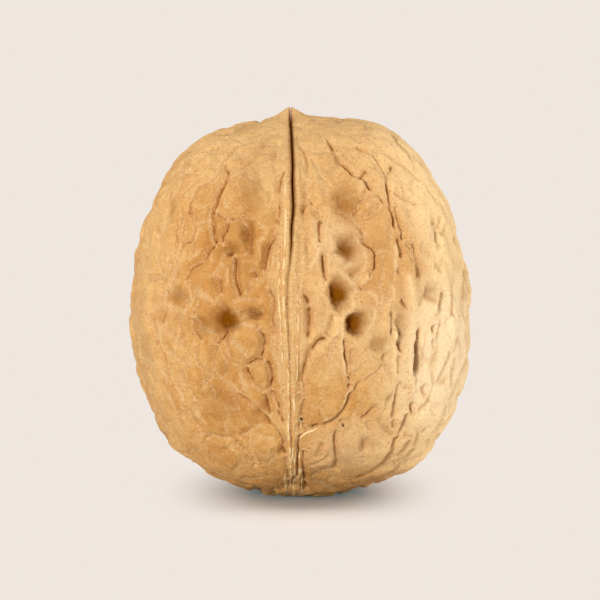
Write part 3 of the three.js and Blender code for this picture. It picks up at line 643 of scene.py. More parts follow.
def spotOnFace(across, height, back):  # a centre on the shell, and the direction that runs up the shell there
    side = -across if back else across
    centre, above = onFace([(side, height), (side, height + 0.5)], back)
    return centre, (above - centre) / np.linalg.norm(above - centre)


def hollowOut(relief, rows, back, tint):
    for across, height, halfWidth, halfHeight, depth in rows:
        centre, up = spotOnFace(across, height, back)
        away = relief.points + hollowLook["ragged"] * (relief.wavy - relief.points) - centre
        along = away @ up
        level = np.einsum("ij,ij->i", away, away) - along ** 2
        dip = np.exp(-(level / halfWidth ** 2 + (along / halfHeight) ** 2) ** hollowLook["steepness"])
        relief.rise -= depth * dip
        # the hollow tint is partly the shell's own darker colour and partly painted shade, darker the deeper
        # the hollow
        darkness = tint * min(depth / hollowLook["fullDepth"], hollowLook["darkest"])
        relief.tints["hollow"] = np.maximum(relief.tints["hollow"], darkness * dip)


def raisePlates(relief):
    power = plateLook["squareness"]
    for across, height, halfWidth, halfHeight, lean, rise in frontPlates:
        centre, up = spotOnFace(across, height, False)
        outward = (centre - heart) / np.linalg.norm(centre - heart)
        sideways = np.cross(up, outward)
        sideways /= np.linalg.norm(sideways)
        turn = math.radians(lean)
        upNow = up * math.cos(turn) + sideways * math.sin(turn)
        sideNow = sideways * math.cos(turn) - up * math.sin(turn)
        away = relief.points - centre
        reach = ((sideNow, halfWidth), (upNow, halfHeight), (outward, plateLook["through"]))
        shape = sum((np.abs(away @ along) / half) ** power for along, half in reach)
        relief.rise += plateLook["rise"] * rise * np.exp(-shape)


# The network of veins, strongest on the sides and the back.
network = {
    "seed": 8, "jog": 0.3,
    "cells": 560, "stretch": 0.62, "bend": 1.3, "bendSize": 3.2,  # large plates, longer along the nut
    "lineHalfWidth": 0.1, "edgeSoftness": 0.8, "plateRise": 0.08, "plateDiffers": 0.26,
    "smallCells": 2300, "smallStretch": 0.7, "smallBend": 0.6, "smallBendSize": 1.6,  # faint veinlets
    "smallWidth": 0.14, "smallDepth": 0.04, "smallDust": 0.35, "patchSize": 2.6,
    "frontShare": 0.22, "backShare": 0.6, "smallFrontShare": 0.45,
    "frontEndsFrom": -6, "frontEndsBy": -2,
}


def scatterSeeds(count, seed):  # evenly spread over the shell, then jogged
    rng = np.random.default_rng(seed)
    turn = np.arange(count) * math.pi * (3 - math.sqrt(5))
    height = 1 - 2 * (np.arange(count) + 0.5) / count
    level = np.sqrt(1 - height ** 2)
    aim = np.stack([level * np.cos(turn), height, level * np.sin(turn)], 1)
    aim += rng.normal(size=aim.shape) * network["jog"] * math.sqrt(4 * math.pi / count)
    return smoothPoints(aim / np.linalg.norm(aim, axis=1)[:, None])


# For each point: the distances to the nearest cell edges, a fixed draw for each edge, and the cell it is in.
def netEdges(points, seeds, stretch, seed):
    scale = np.array([1, 1, stretch])
    spots = seeds * scale
    tree = kdtree.KDTree(len(seeds))
    for k, spot in enumerate(spots):
        tree.insert(spot, k)
    tree.balance()
    nearest = np.empty((len(points), 4), int)
    far = np.empty((len(points), 4))
    for k, spot in enumerate((points * scale).tolist()):
        for n, (_, index, away) in enumerate(tree.find_n(spot, 4)):
            nearest[k, n] = index
            far[k, n] = away
    gaps, strengths = [], []
    for n in (1, 2, 3):
        between = np.linalg.norm(spots[nearest[:, n]] - spots[nearest[:, 0]], axis=1)
        gaps.append((far[:, n] ** 2 - far[:, 0] ** 2) / (2 * between))
        low, high = np.minimum(nearest[:, 0], nearest[:, n]), np.maximum(nearest[:, 0], nearest[:, n])
        strengths.append(lattice(np.stack([low, high, low * 0 + 7], 1), seed))
    return gaps, strengths, nearest[:, 0]


def growNetwork(relief, share):
    chosen = np.nonzero(share > 0.02)[0]
    spots = relief.wavy[chosen]
    bends = [noise(spots, network["bendSize"], 10 + k, 3) for k in range(3)]
    bent = spots + network["bend"] * np.stack(bends, 1)
    seeds = scatterSeeds(network["cells"], network["seed"])
    gaps, draws, cell = netEdges(bent, seeds, network["stretch"], 5)
    soft = np.zeros(len(chosen))
    for gap, draw in zip(gaps, draws):
        strength = share[chosen] * (0.25 + 0.75 * np.clip(draw * 1.2 - 0.1, 0, 1) ** 1.5)
        relief.vein(chosen, gap, strength, network["lineHalfWidth"] * (1 + 0.5 * draw))
        soft = np.maximum(soft, np.exp(-(gap / network["edgeSoftness"]) ** 2))
    draw = lattice(np.stack([cell, cell * 0, cell * 0 + 3], 1), 9) - 0.5
    height = network["plateDiffers"] * draw + network["plateRise"]
    relief.rise[chosen] += share[chosen] * height * (1 - soft)


def growVeinlets(relief, keep):
    spots = relief.points
    bends = [noise(spots, network["smallBendSize"], 30 + k, 2) for k in range(3)]
    bent = spots + network["smallBend"] * np.stack(bends, 1)
    seeds = scatterSeeds(network["smallCells"], network["seed"] + 1)
    gaps, draws = netEdges(bent, seeds, network["smallStretch"], 15)[:2]
    cut = np.zeros(len(spots))
    for gap, draw in zip(gaps, draws):
        line = np.exp(-(gap / network["smallWidth"]) ** 1.5)
        cut = np.maximum(cut, np.clip(draw * 1.3 - 0.3, 0, 1) * line)
    cut = cut * keep * smoothStep(-0.1, 0.5, noise(spots, network["patchSize"], 55))
    relief.rise -= network["smallDepth"] * cut
    relief.tints["dust"] = np.maximum(relief.tints["dust"], network["smallDust"] * cut)


def columns(rows):
    return np.array(sorted(rows), float).T


def listedHeight(points):  # the height that the lists of the front or the back mean
    return np.where(points[:, 1] > 0, points[:, 2], seenHeight(points))


def alongSeam(frontRows, backRows, points):  # the two values that such rows give at each point's height
    height = listedHeight(points)
    (frontUp, *front), (backUp, *back) = columns(frontRows), columns(backRows)
    return [np.where(points[:, 1] > 0, np.interp(height, backUp, rear), np.interp(height, frontUp, fore))
            for fore, rear in zip(front, back)]


def crackTrack(points):  # where the halves meet and how far they gape
    across, gap = alongSeam(frontCrack, backCrack, points)
    blend = smoothStep(0, 2.5, np.abs(points[:, 1]))  # the two tracks meet at the tip and the stem end
    return across * blend, 0.7 * gap * (0.5 + 0.5 * blend)


def ridgeRise(points):
    halfWidth = np.interp(points[:, 2], *columns(form["ridgeHalfWidths"]))
    outside = smoothStep(1 - form["ridgeFade"], 1 + form["ridgeFade"], np.abs(points[:, 0]) / halfWidth)
    starts = smoothStep(0, form["ridgeStart"], points[:, 2])
    ends = 1 - smoothStep(form["ridgeSinksFrom"], form["ridgeSinksBy"], points[:, 2])
    return form["ridgeHeight"] * (1 - outside) * starts * ends


bandLook = {
    "edgeWave": 0.18, "edgeWaveSize": 1.2, "edgeFrom": -0.22, "edgeBy": 0.12,
    "tipFrom": 38.5, "tipBy": 41, "tipShare": 0.8,  # the band grows faint at the tip
    "longer": 0.045,  # how much slower the fibres change along the seam than across it
    "fibreSize": 0.32, "fibreRise": 0.075, "fineSize": 0.14, "fineRise": 0.02,
    "dust": 0.7, "stripeRise": {"straw": 0.1, "mauve": -0.14}, "stripeWave": 0.05,
}


def seamBand(relief, track):  # the fibrous strip that runs with the crack, front and back
    look, spots = bandLook, relief.points
    height = listedHeight(spots)
    across = np.where(spots[:, 1] > 0, -1, 1) * (spots[:, 0] - track)
    left, right = alongSeam(frontBand, backBand, spots)
    edge = across + look["edgeWave"] * noise(spots, look["edgeWaveSize"], 95, 2)
    inside = [smoothStep(look["edgeFrom"], look["edgeBy"], gap) for gap in (edge - left, right - edge)]
    band = inside[0] * inside[1] * (1 - smoothStep(look["tipFrom"], look["tipBy"], height) * look["tipShare"])
    along = np.stack([across, spots[:, 1] * look["longer"], spots[:, 2] * look["longer"]], 1)
    fibres = noise(along, look["fibreSize"], 90, 2)
    fine = noise(along, look["fineSize"], 93)
    relief.rise += band * (look["fibreRise"] * fibres + look["fineRise"] * fine)
    straw = 0.25 + 0.75 * (1 - smoothStep(24, 31, height))  # most of the straw is low down
    straw = straw * (0.65 + 0.35 * smoothStep(6, 15, height))
    relief.tints["straw"] = band * straw * np.clip(0.4 + 0.8 * fibres + 0.3 * fine, 0, 1)
    relief.tints["mauve"] = band * np.clip(0.25 - 0.9 * fibres - 0.2 * fine, 0, 1)
    relief.tints["dust"] = look["dust"] * band
    for rows, halfWidth, tone, strength in seamStripes:
        heights, middles = columns(rows)
        ends = smoothStep(0, 2, height - heights[0]) * smoothStep(0, 2, heights[-1] - height)
        off = across - np.interp(height, heights, middles) + look["stripeWave"] * noise(along, 0.5, 97)
        stripe = strength * ends * np.exp(-(off / halfWidth) ** 2)
        name, other = ("straw", "mauve") if tone == "s" else ("mauve", "straw")
        relief.rise += look["stripeRise"][name] * stripe
        relief.tints[name] = np.maximum(relief.tints[name], stripe)
        relief.tints[other] *= 1 - np.clip(stripe, 0, 1)
    return band


lumpLook = {  # height and size of the swells of the shell
    "large": 0.32, "largeSize": 4.6, "small": 0.2, "smallSize": 2.1, "fine": 0.02, "fineSize": 0.55,
    "lift": 0.1, "tipFrom": 36, "tipBy": 41.5,
}
crackLook = {
    "lipDepth": 0.1, "lipWidth": 0.16,
    "ragged": 0.6, "raggedSize": 0.35, "line": 0.08, "share": 0.8, "tintFrom": 0.03, "tintBy": 0.12,
    "shutShare": 0.15, "opensFrom": 21, "opensBy": 31, "givesOver": 0.5,
}


def shellLumps(points, band):
    look = lumpLook
    lumps = look["large"] * noise(points, look["largeSize"], 42)
    lumps = lumps + look["small"] * noise(points, look["smallSize"], 40, 2)
    fine = look["fine"] * noise(points, look["fineSize"], 41, 2)
    tip = smoothStep(look["tipFrom"], look["tipBy"], points[:, 2])
    return (lumps * (1 - 0.5 * band) + fine + look["lift"]) * (1 - tip)


def markSpecks(relief):
    for across, height, radius, strength in frontSpecks:
        away = np.linalg.norm(relief.wavy - onFace([(across, height)])[0], axis=1)
        relief.tints["speck"] = np.maximum(relief.tints["speck"], strength * np.exp(-(away / radius) ** 4))


def shapeHalf(aim, side):
    points = smoothPoints(aim)
    height = listedHeight(points)
    across, gap = crackTrack(points)
    away = np.abs(points[:, 0])
    points[:, 0] += across * (1 - smoothStep(0, 3, away))
    relief = Relief(points)
    band = seamBand(relief, across)
    hollowOut(relief, frontHollows, False, 1)
    hollowOut(relief, backHollows, True, 1)
    hollowOut(relief, frontDips, False, 0.7)
    raisePlates(relief)
    for row in frontVeins:
        cutVein(relief, *row)
    for row in frontRidges:
        raiseRidge(relief, *row)
    markSpecks(relief)
    handMade = smoothStep(0.02, 0.3, relief.tints["valley"])
    backShare = smoothStep(network["frontEndsFrom"], network["frontEndsBy"], points[:, 1])
    share = np.maximum(network["backShare"] * backShare, network["frontShare"] * (1 - handMade))
    growNetwork(relief, share * (1 - band))
    smallShare = network["smallFrontShare"] + (1 - network["smallFrontShare"]) * backShare
    growVeinlets(relief, (1 - band) * smallShare)
    rise = ridgeRise(points) + relief.rise + shellLumps(points, band)
    rise -= veinLook["depth"] * relief.groove + veinLook["valleyDepth"] * relief.tints["valley"]
    rise += veinLook["threadRise"] * relief.thread
    look = crackLook
    fromCrack = np.abs(points[:, 0] - across)
    lips = np.exp(-((fromCrack - gap / 2) / look["lipWidth"]) ** 2)
    rise -= look["lipDepth"] * lips * (0.6 + 2 * gap)
    ragged = np.clip(1 + look["ragged"] * noise(points, look["raggedSize"], 98, 2), 0.3, 2)
    # partly the seam's own dark edge, partly painted shade of the gap: the band widens with the gap and shows
    # only where the halves gape
    dark = np.exp(-(fromCrack / (ragged * (look["line"] + look["share"] * gap))) ** 2)
    relief.tints["crack"] = dark * smoothStep(look["tintFrom"], look["tintBy"], gap)
    tipSoft = 1 - smoothStep(39.5, 41.8, points[:, 2]) * 0.9
    points = points + aim * (rise * tipSoft)[:, None]
    opens = smoothStep(look["opensFrom"], look["opensBy"], height)
    opens = look["shutShare"] + (1 - look["shutShare"]) * opens
    points[:, 0] += side * gap * opens / 2 * np.exp(-np.abs(points[:, 0] - across) / look["givesOver"])
    points[:, 2] = np.maximum(points[:, 2], 0)  # the flat spot
    return points, relief.tints


grid = {
    "around": 1440, "rings": 340, "frontBias": 0.3, "trianglesPerHalf": 196000,
    "lipRows": ((0.5, 0.5), (1.1, 1.0)),  # how far in, and how far closed
    "halvesApart": 0.004,  # from the seam to each half
}


def halfPoints(side):
    around, rings = grid["around"], grid["rings"]
    turn = np.arange(around) / around * 2 * math.pi
    turn = turn + grid["frontBias"] * np.cos(turn)  # closer together on the front
    lift = np.arange(rings) / rings * math.pi / 2
    liftAll, turnAll = np.meshgrid(lift, turn, indexing="ij")
    level = np.cos(liftAll)
    aim = np.stack([side * np.sin(liftAll), level * np.sin(turnAll), level * np.cos(turnAll)], -1)
    aim = np.concatenate([aim.reshape(-1, 3), [[side, 0, 0]]])
    points, tints = shapeHalf(aim, side)
    edge = points[:around]
    apart = side * grid["halvesApart"]
    inner = []
    for inward, closing in grid["lipRows"]:  # the lip of the crack runs in and closes
        row = edge - aim[:around] * inward
        row[:, 0] = edge[:, 0] * (1 - closing) + closing * crackTrack(edge)[0] + apart
        inner.append(row)
    inner.append([heart + np.array([apart, 0, 0])])
    return np.concatenate([points] + inner), tints


def halfFaces(side):  # rings from the seam to the side's pole, the crack's lip, and a fan at each end
    around, rings = grid["around"], grid["rings"]
    start = np.arange(around)
    after = (start + 1) % around
    pole = rings * around
    lip = [0] + [pole + 1 + k * around for k in range(len(grid["lipRows"]))]
    quads = [np.stack([a + start, a + after, a + around + after, a + around + start], 1)
             for a in range(0, (rings - 1) * around, around)]
    quads += [np.stack([a + start, b + start, b + after, a + after], 1) for a, b in zip(lip, lip[1:])]
    last, centre = (rings - 1) * around, lip[-1] + around
    fans = [np.stack([last + start, last + after, np.full(around, pole)], 1),
            np.stack([lip[-1] + after, lip[-1] + start, np.full(around, centre)], 1)]
    quads, fans = np.concatenate(quads), np.concatenate(fans)
    return (quads[:, ::-1], fans[:, ::-1]) if side > 0 else (quads, fans)


def buildHalf(name, side):
    points, tints = halfPoints(side)
    quads, fans = halfFaces(side)
    mesh = bpy.data.meshes.new(name)
    mesh.vertices.add(len(points))
    mesh.vertices.foreach_set("co", (points * mm).ravel())
    mesh.loops.add(quads.size + fans.size)
    mesh.loops.foreach_set("vertex_index", np.concatenate([quads.ravel(), fans.ravel()]))
    mesh.polygons.add(len(quads) + len(fans))
    starts = np.concatenate([np.arange(len(quads)) * 4, quads.size + np.arange(len(fans)) * 3])
    mesh.polygons.foreach_set("loop_start", starts)
    mesh.update(calc_edges=True)
    mesh.validate()
    for tint, values in tints.items():
        # the crack's inner walls take the full crack tint, painted shade inside the gap
        inside = np.full(len(points) - len(values), 1.0 if tint == "crack" else 0.0)
        layer = mesh.attributes.new(tint, "FLOAT", "POINT")
        layer.data.foreach_set("value", np.concatenate([np.clip(values, 0, 1), inside]))
    piece = bpy.data.objects.new(name, mesh)
    bpy.context.scene.collection.objects.link(piece)
    return piece


def thinOut(piece, triangles):
    count = sum(len(face.vertices) - 2 for face in piece.data.polygons)
    modifier = piece.modifiers.new("thinOut", "DECIMATE")
    modifier.ratio = triangles / count
    depsgraph = bpy.context.evaluated_depsgraph_get()
    mesh = bpy.data.meshes.new_from_object(piece.evaluated_get(depsgraph))
    piece.modifiers.clear()
    old = piece.data
    piece.data = mesh
    bpy.data.meshes.remove(old)
    mesh.name = piece.name
    mesh.polygons.foreach_set("use_smooth", np.ones(len(mesh.polygons), bool))
    mesh.update()


# Finishes.
class Signal:
    # a shader value that can stand in sums
    def __init__(self, finish, socket):
        self.finish, self.socket = finish, socket

    def join(self, operation, first, second):
        node = self.finish.node("ShaderNodeMath", {"operation": operation}, {0: first, 1: second})
        return Signal(self.finish, node.outputs[0])

    def __add__(self, other):
        return self.join("ADD", self, other)

    def __rsub__(self, other):
        return self.join("SUBTRACT", other, self)

    def __mul__(self, other):
        return self.join("MULTIPLY", self, other)

    __radd__ = __add__


class Finish:
    # one material's node tree
    def __init__(self, name):
        self.material = bpy.data.materials.new(name)
        self.material.use_nodes = True
        self.tree = self.material.node_tree
        self.tree.nodes.clear()

    def node(self, kind, settings=None, sockets=None):
        made = self.tree.nodes.new(kind)
        for key, value in (settings or {}).items():
            setattr(made, key, value)
        for key, value in (sockets or {}).items():
            if isinstance(value, Signal):
                value = value.socket
            if isinstance(value, bpy.types.NodeSocket):
                self.tree.links.new(value, made.inputs[key])
            else:
                made.inputs[key].default_value = value
        return made

    def attribute(self, name):
        return Signal(self, self.node("ShaderNodeAttribute", {"attribute_name": name}).outputs["Fac"])

    def grain(self, place, scale, detail):
        node = self.node("ShaderNodeTexNoise", None,
                         {"Vector": place, "Scale": scale, "Detail": detail, "Roughness": 0.55})
        return Signal(self, node.outputs["Fac"])

    def between(self, value, low, high):
        node = self.node("ShaderNodeMapRange", {"interpolation_type": "SMOOTHSTEP"},
                         {"Value": value, "From Min": low, "From Max": high})
        return Signal(self, node.outputs["Result"])

    def blend(self, factor, first, second):
        node = self.node("ShaderNodeMix", {"data_type": "RGBA"}, {"Factor": factor, "A": first, "B": second})
        return node.outputs["Result"]


def linear(red, green, blue):
    parts = [c / 255 for c in (red, green, blue)]
    return tuple(p / 12.92 if p <= 0.04045 else ((p + 0.055) / 1.055) ** 2.4 for p in parts) + (1,)


shellLook = {
    "tan": linear(203, 156, 93),
    "orange": linear(188, 134, 71),
    "cream": linear(238, 206, 154),
    "dust": linear(212, 168, 112),
    "straw": linear(217, 180, 122),
    "salt": linear(240, 216, 176),
    "mauve": linear(196, 150, 102),
    "hollow": linear(130, 75, 3),
    "vein": linear(166, 98, 26),
    "crack": linear(116, 64, 14),
    "speck": linear(70, 42, 18),
    "pit": linear(172, 104, 38),
    "valleyShade": linear(182, 116, 48),
    "core": linear(104, 56, 12),
    "roughness": 0.46, "shine": 0.05,
    "fineBump": 0.48, "bumpShare": 0.7,  # mm, and how much of it shows
    "pepper": 0.25, "pepperFrom": 0.04, "pepperBy": 0.02,  # a few small dark flecks
    "patches": [  # centre, radius, share and colour of the wide differences
        # the cream patch at (5, -16, 21) is partly painted highlight
        ((5, -16, 21), 9, 0.3, "cream"), ((-6, -16, 25), 9, 0.85, "orange"),
        ((9.5, -13, 27), 8, 0.7, "orange"),
        ((0, -17, 38), 9, 0.3, "cream"), ((0.5, -17, 12), 6, 0.25, "tan"), ((-9, -14, 31), 7, 0.4, "orange"),
        # the salt patch at (16, -8, 16), on the right side, is partly painted sheen
        ((16, -8, 16), 11, 0.75, "salt"), ((5, -16, 29), 5, 0.3, "salt"),
        ((7, -15, 4), 8, 0.3, "salt"), ((-5, -16, 14), 6, 0.5, "orange"),
    ],
}


def shellFinish():
    finish = Finish("walnutShell")
    look, between = shellLook, finish.between
    place = finish.node("ShaderNodeTexCoord").outputs["Object"]
    scaled = finish.node("ShaderNodeVectorMath", {"operation": "SCALE"}, {0: place, "Scale": 1000.0})
    inMm = scaled.outputs[0]
    spot = finish.node("ShaderNodeSeparateXYZ", None, {0: inMm})
    across, up = Signal(finish, spot.outputs["X"]), Signal(finish, spot.outputs["Z"])
    tint = {name: finish.attribute(name) for name in tintNames}
    wide = finish.grain(inMm, 0.3, 3)
    middle = finish.grain(inMm, 1.2, 4)
    fine = finish.grain(inMm, 3.6, 3)
    salt = finish.grain(inMm, 7.5, 2)
    mixed = between(wide * 0.55 + middle * 0.45, 0.42, 0.6)
    scuff = between(middle * 0.4 + fine * 0.6, 0.5, 0.68)
    dusty = tint["dust"] * (0.25 + between(salt * 0.6 + fine * 0.4, 0.42, 0.6) * 0.55)
    grains = between(salt * 0.7 + fine * 0.3, 0.56, 0.68) * (tint["dust"] + 0.2) * (1 - tint["hollow"])
    pits = between(salt * 0.6 + fine * 0.4, 0.47, 0.34)
    pepper = finish.node("ShaderNodeTexVoronoi", {"feature": "F1"},
                         {"Vector": inMm, "Scale": look["pepper"], "Randomness": 1.0})
    pepper = between(Signal(finish, pepper.outputs["Distance"]), look["pepperFrom"], look["pepperBy"])
    patches = []
    for centre, size, share, tone in look["patches"]:
        away = finish.node("ShaderNodeVectorMath", {"operation": "DISTANCE"}, {0: inMm, 1: centre})
        patches.append((between(Signal(finish, away.outputs["Value"]), size, size * 0.3) * share, tone))
    layers = [  # how much, and of which colour, the first lowest
        (mixed, "orange"),
        (scuff * 0.24, "cream"),
        (between(across, 6.0, 16.0) * 0.85, "cream"),  # the right side is paler: partly its own paler tone, partly painted sheen from the light on that side
        *patches,
        (between(up, 31.0, 40.0) * 0.3, "cream"),
        # painted warm bounce light from the floor on the lowest part
        (between(up, 5.0, 0.5) * 0.5, "orange"),
        # painted sheen along the left edge
        (between(across, -9.0, -17.0) * 0.2, "cream"),
        # painted shade: the troughs around the veins are darkened as if in shadow
        (between(tint["valley"], 0.25, 0.9) * 0.22, "valleyShade"),
        (dusty, "dust"),
        (tint["mauve"] * 0.7, "mauve"),
        (tint["straw"] * 0.9, "straw"),
        # pale threads in the veins, and lips and ridge crests whose paleness is partly painted highlight
        (tint["pale"] * 0.75, "cream"),
        # hollows: partly their own darker colour, partly painted shade
        (tint["hollow"], "hollow"),
        (grains, "salt"),
        (pits * 0.6, "pit"),
        # veins and their darkest cores: partly their own dark colour, partly painted shade in the grooves
        (tint["vein"] * 0.95, "vein"),
        (between(tint["vein"], 0.5, 0.95) * 0.75, "core"),
        (tint["speck"], "speck"),
        # crack: painted shade of the gap, partly the seam's own dark edge
        (tint["crack"], "crack"),
        (pepper * 0.6, "speck"),
    ]
    color = look["tan"]
    for share, tone in layers:
        color = finish.blend(share, color, look[tone])
    height = fine * 0.55 + salt * (0.25 + tint["dust"] * 0.25)
    bump = finish.node("ShaderNodeBump", None,
                       {"Strength": look["bumpShare"], "Distance": look["fineBump"] * mm, "Height": height})
    rough = between(middle, 0.3, 0.7) * 0.16 + tint["hollow"] * 0.25 + tint["crack"] * 0.3 + look["roughness"]
    shader = finish.node("ShaderNodeBsdfPrincipled", None,
                         {"Base Color": color, "Roughness": rough, "Normal": bump.outputs["Normal"]})
    shader.inputs["Specular IOR Level"].default_value = look["shine"]
    finish.node("ShaderNodeOutputMaterial", None, {"Surface": shader.outputs[0]})
    return finish.material


# Frayed fibres down the seam, and crumbs.
strands = [  # thickness, points (across, height) down the front
    (0.05, [(-0.52, 33.5), (-0.48, 30), (-0.6, 26.5), (-0.7, 23), (-0.62, 19.5), (-0.5, 16.5)]),
    (0.045, [(-1.05, 27), (-1.2, 24), (-1.15, 20.5), (-0.95, 17), (-0.8, 14)]),
    (0.045, [(0.75, 22), (0.85, 19), (0.8, 16), (0.7, 13), (0.75, 10.5)]),
    (0.05, [(-0.3, 15.5), (-0.25, 12.5), (-0.15, 10), (-0.2, 7.5), (-0.15, 5.4)]),
    (0.05, [(0.35, 12), (0.4, 9.5), (0.35, 7), (0.25, 4.6), (0.1, 2.4)]),
    (0.08, [(-0.3, 8.5), (-0.15, 6.2), (0.0, 4.6), (0.05, 3), (0, 1.8), (0, 0.9)]),
    (0.06, [(0.6, 5.6), (0.5, 4), (0.45, 2.4), (0.4, 1)]),
    (0.1, [(1.02, 5), (1.05, 3.9), (1.08, 2.8), (1.15, 1.9), (1.2, 0.8), (1.3, 0.3)]),
    (0.1, [(-0.55, 2.3), (-0.6, 1.9), (-0.58, 1.4), (-0.5, 0.9), (-0.3, 0.5)]),
    (0.08, [(1.0, 6.2), (1.2, 6.5), (1.8, 6.9), (2.3, 7.05), (2.8, 7.3), (3.3, 7.5)]),
    (0.06, [(1.0, 8.3), (1.08, 7.9), (1.15, 7.4)]),
    (0.06, [(-1.7, 10.5), (-1.5, 10), (-1.35, 9.6), (-1.2, 9.3)]),
]
strandLook = {
    "color": linear(240, 214, 162), "shade": linear(212, 160, 90),
    "sideBySide": 3, "sides": 6, "step": 0.16, "spread": 0.55, "curl": 0.5, "seed": 5, "lift": 0.01,
}
crumbs = {
    "count": 0.28,  # on each square millimetre of dusty ground
    "small": 0.02, "large": 0.055, "seed": 11, "color": linear(246, 226, 188),
    "placed": [  # across, height, size
        (3.85, 22.9, 0.09), (-7.1, 26.9, 0.1), (-6.8, 26.95, 0.07), (-8.9, 31.3, 0.06), (-4.7, 31.1, 0.05),
    ],
}


class Growth:
    # one geometry node tree
    def __init__(self, name, inputs):
        self.tree = bpy.data.node_groups.new(name, "GeometryNodeTree")
        self.tree.interface.new_socket(name="Geometry", in_out="OUTPUT", socket_type="NodeSocketGeometry")
        self.tree.interface.new_socket(name="Geometry", in_out="INPUT", socket_type="NodeSocketGeometry")
        self.named = {}
        for key, (kind, value) in inputs.items():
            self.tree.interface.new_socket(name=key, in_out="INPUT", socket_type="NodeSocket" + kind)
            self.named[key] = value
        self.given = self.tree.nodes.new("NodeGroupInput").outputs

    def node(self, kind, settings=None, sockets=None):
        made = self.tree.nodes.new(kind)
        for key, value in (settings or {}).items():
            setattr(made, key, value)
        for key, value in (sockets or {}).items():
            if isinstance(value, bpy.types.NodeSocket):
                self.tree.links.new(value, made.inputs[key])
            else:
                made.inputs[key].default_value = value
        return made.outputs

    def finishOn(self, piece, geometry):  # closes the tree, runs it on the piece and keeps the plain mesh
        whole = self.node("GeometryNodeRealizeInstances", None, {"Geometry": geometry})[0]
        skinned = self.node("GeometryNodeSetMaterial", None,
                            {"Geometry": whole, "Material": self.given["Material"]})[0]
        self.node("NodeGroupOutput", None, {0: skinned})
        modifier = piece.modifiers.new(self.tree.name, "NODES")
        modifier.node_group = self.tree
        for item in self.tree.interface.items_tree:
            if item.in_out == "INPUT" and item.name in self.named:
                modifier[item.identifier] = self.named[item.name]
        depsgraph = bpy.context.evaluated_depsgraph_get()
        mesh = bpy.data.meshes.new_from_object(piece.evaluated_get(depsgraph))
        piece.modifiers.clear()
        piece.data = mesh
        mesh.name = piece.name
        return piece


def startPiece(name, points, edges, attribute, values):
    mesh = bpy.data.meshes.new(name + "_start")
    mesh.from_pydata(points, edges, [])
    mesh.attributes.new(attribute, "FLOAT", "POINT").data.foreach_set("value", values)
    piece = bpy.data.objects.new(name, mesh)
    bpy.context.scene.collection.objects.link(piece)
    return piece


def touchFront(trees, across, height, lift):  # the shell's surface at a place on its front
    start = Vector((across, -40, (height + form["seenBase"] + 40 * lookIn) / lookUp)) * mm
    hits = [tree.ray_cast(start, Vector((0, lookUp, -lookIn))) for tree in trees]
    spot, normal = min((hit for hit in hits if hit[0]), key=lambda hit: hit[3])[:2]
    return spot + normal * lift * mm


def seamFibres(trees):
    points, edges, thick = [], [], []
    for thickness, row in strands:
        line = softLine(row, 8)
        first = len(points)
        for step, (across, height) in enumerate(line):
            points.append(touchFront(trees, across, height, strandLook["lift"]))
            taper = math.sin(math.pi * (step + 0.4) / (len(line) - 0.2)) ** 0.4  # thin at both ends
            thick.append(thickness * taper)
        edges += [(i, i + 1) for i in range(first, len(points) - 1)]
    piece = startPiece("seam_fibres", points, edges, "thick", thick)
    look = strandLook
    growth = Growth("seamFibres", {
        "Side by side": ("Int", look["sideBySide"]), "Sides": ("Int", look["sides"]),
        "Step": ("Float", look["step"] * mm),
        "Spread": ("Float", look["spread"] * mm), "Curl": ("Float", look["curl"] / mm),
        "Seed": ("Float", float(look["seed"])), "Material": ("Material", fibreFinish())})
    given = growth.given
    path = growth.node("GeometryNodeMeshToCurve", None, {"Mesh": given["Geometry"]})[0]
    path = growth.node("GeometryNodeResampleCurve", {"mode": "LENGTH"},
                       {"Curve": path, "Length": given["Step"]})[0]
    copies = growth.node("GeometryNodeDuplicateElements", {"domain": "SPLINE"},
                         {"Geometry": path, "Amount": given["Side by side"]})
    turn = growth.node("ShaderNodeMath", {"operation": "MULTIPLY_ADD"},
                       {0: copies[1], 1: 3.7, 2: given["Seed"]})[0]  # each copy drifts its own way
    where = growth.node("GeometryNodeInputPosition")[0]
    drift = growth.node("ShaderNodeTexNoise", {"noise_dimensions": "4D"},
                        {"Vector": where, "W": turn, "Scale": given["Curl"], "Detail": 2.0})["Color"]
    drift = growth.node("ShaderNodeVectorMath", {"operation": "SUBTRACT"}, {0: drift, 1: (0.5, 0.5, 0.5)})[0]
    drift = growth.node("ShaderNodeVectorMath", {"operation": "SCALE"},
                        {0: drift, "Scale": given["Spread"]})[0]
    path = growth.node("GeometryNodeSetPosition", None, {"Geometry": copies[0], "Offset": drift})[0]
    width = growth.node("GeometryNodeInputNamedAttribute", {"data_type": "FLOAT"}, {"Name": "thick"})[0]
    ring = growth.node("GeometryNodeCurvePrimitiveCircle", None,
                       {"Resolution": given["Sides"], "Radius": mm})[0]
    tube = growth.node("GeometryNodeCurveToMesh", None,
                       {"Curve": path, "Profile Curve": ring, "Scale": width, "Fill Caps": True})[0]
    return growth.finishOn(piece, tube)


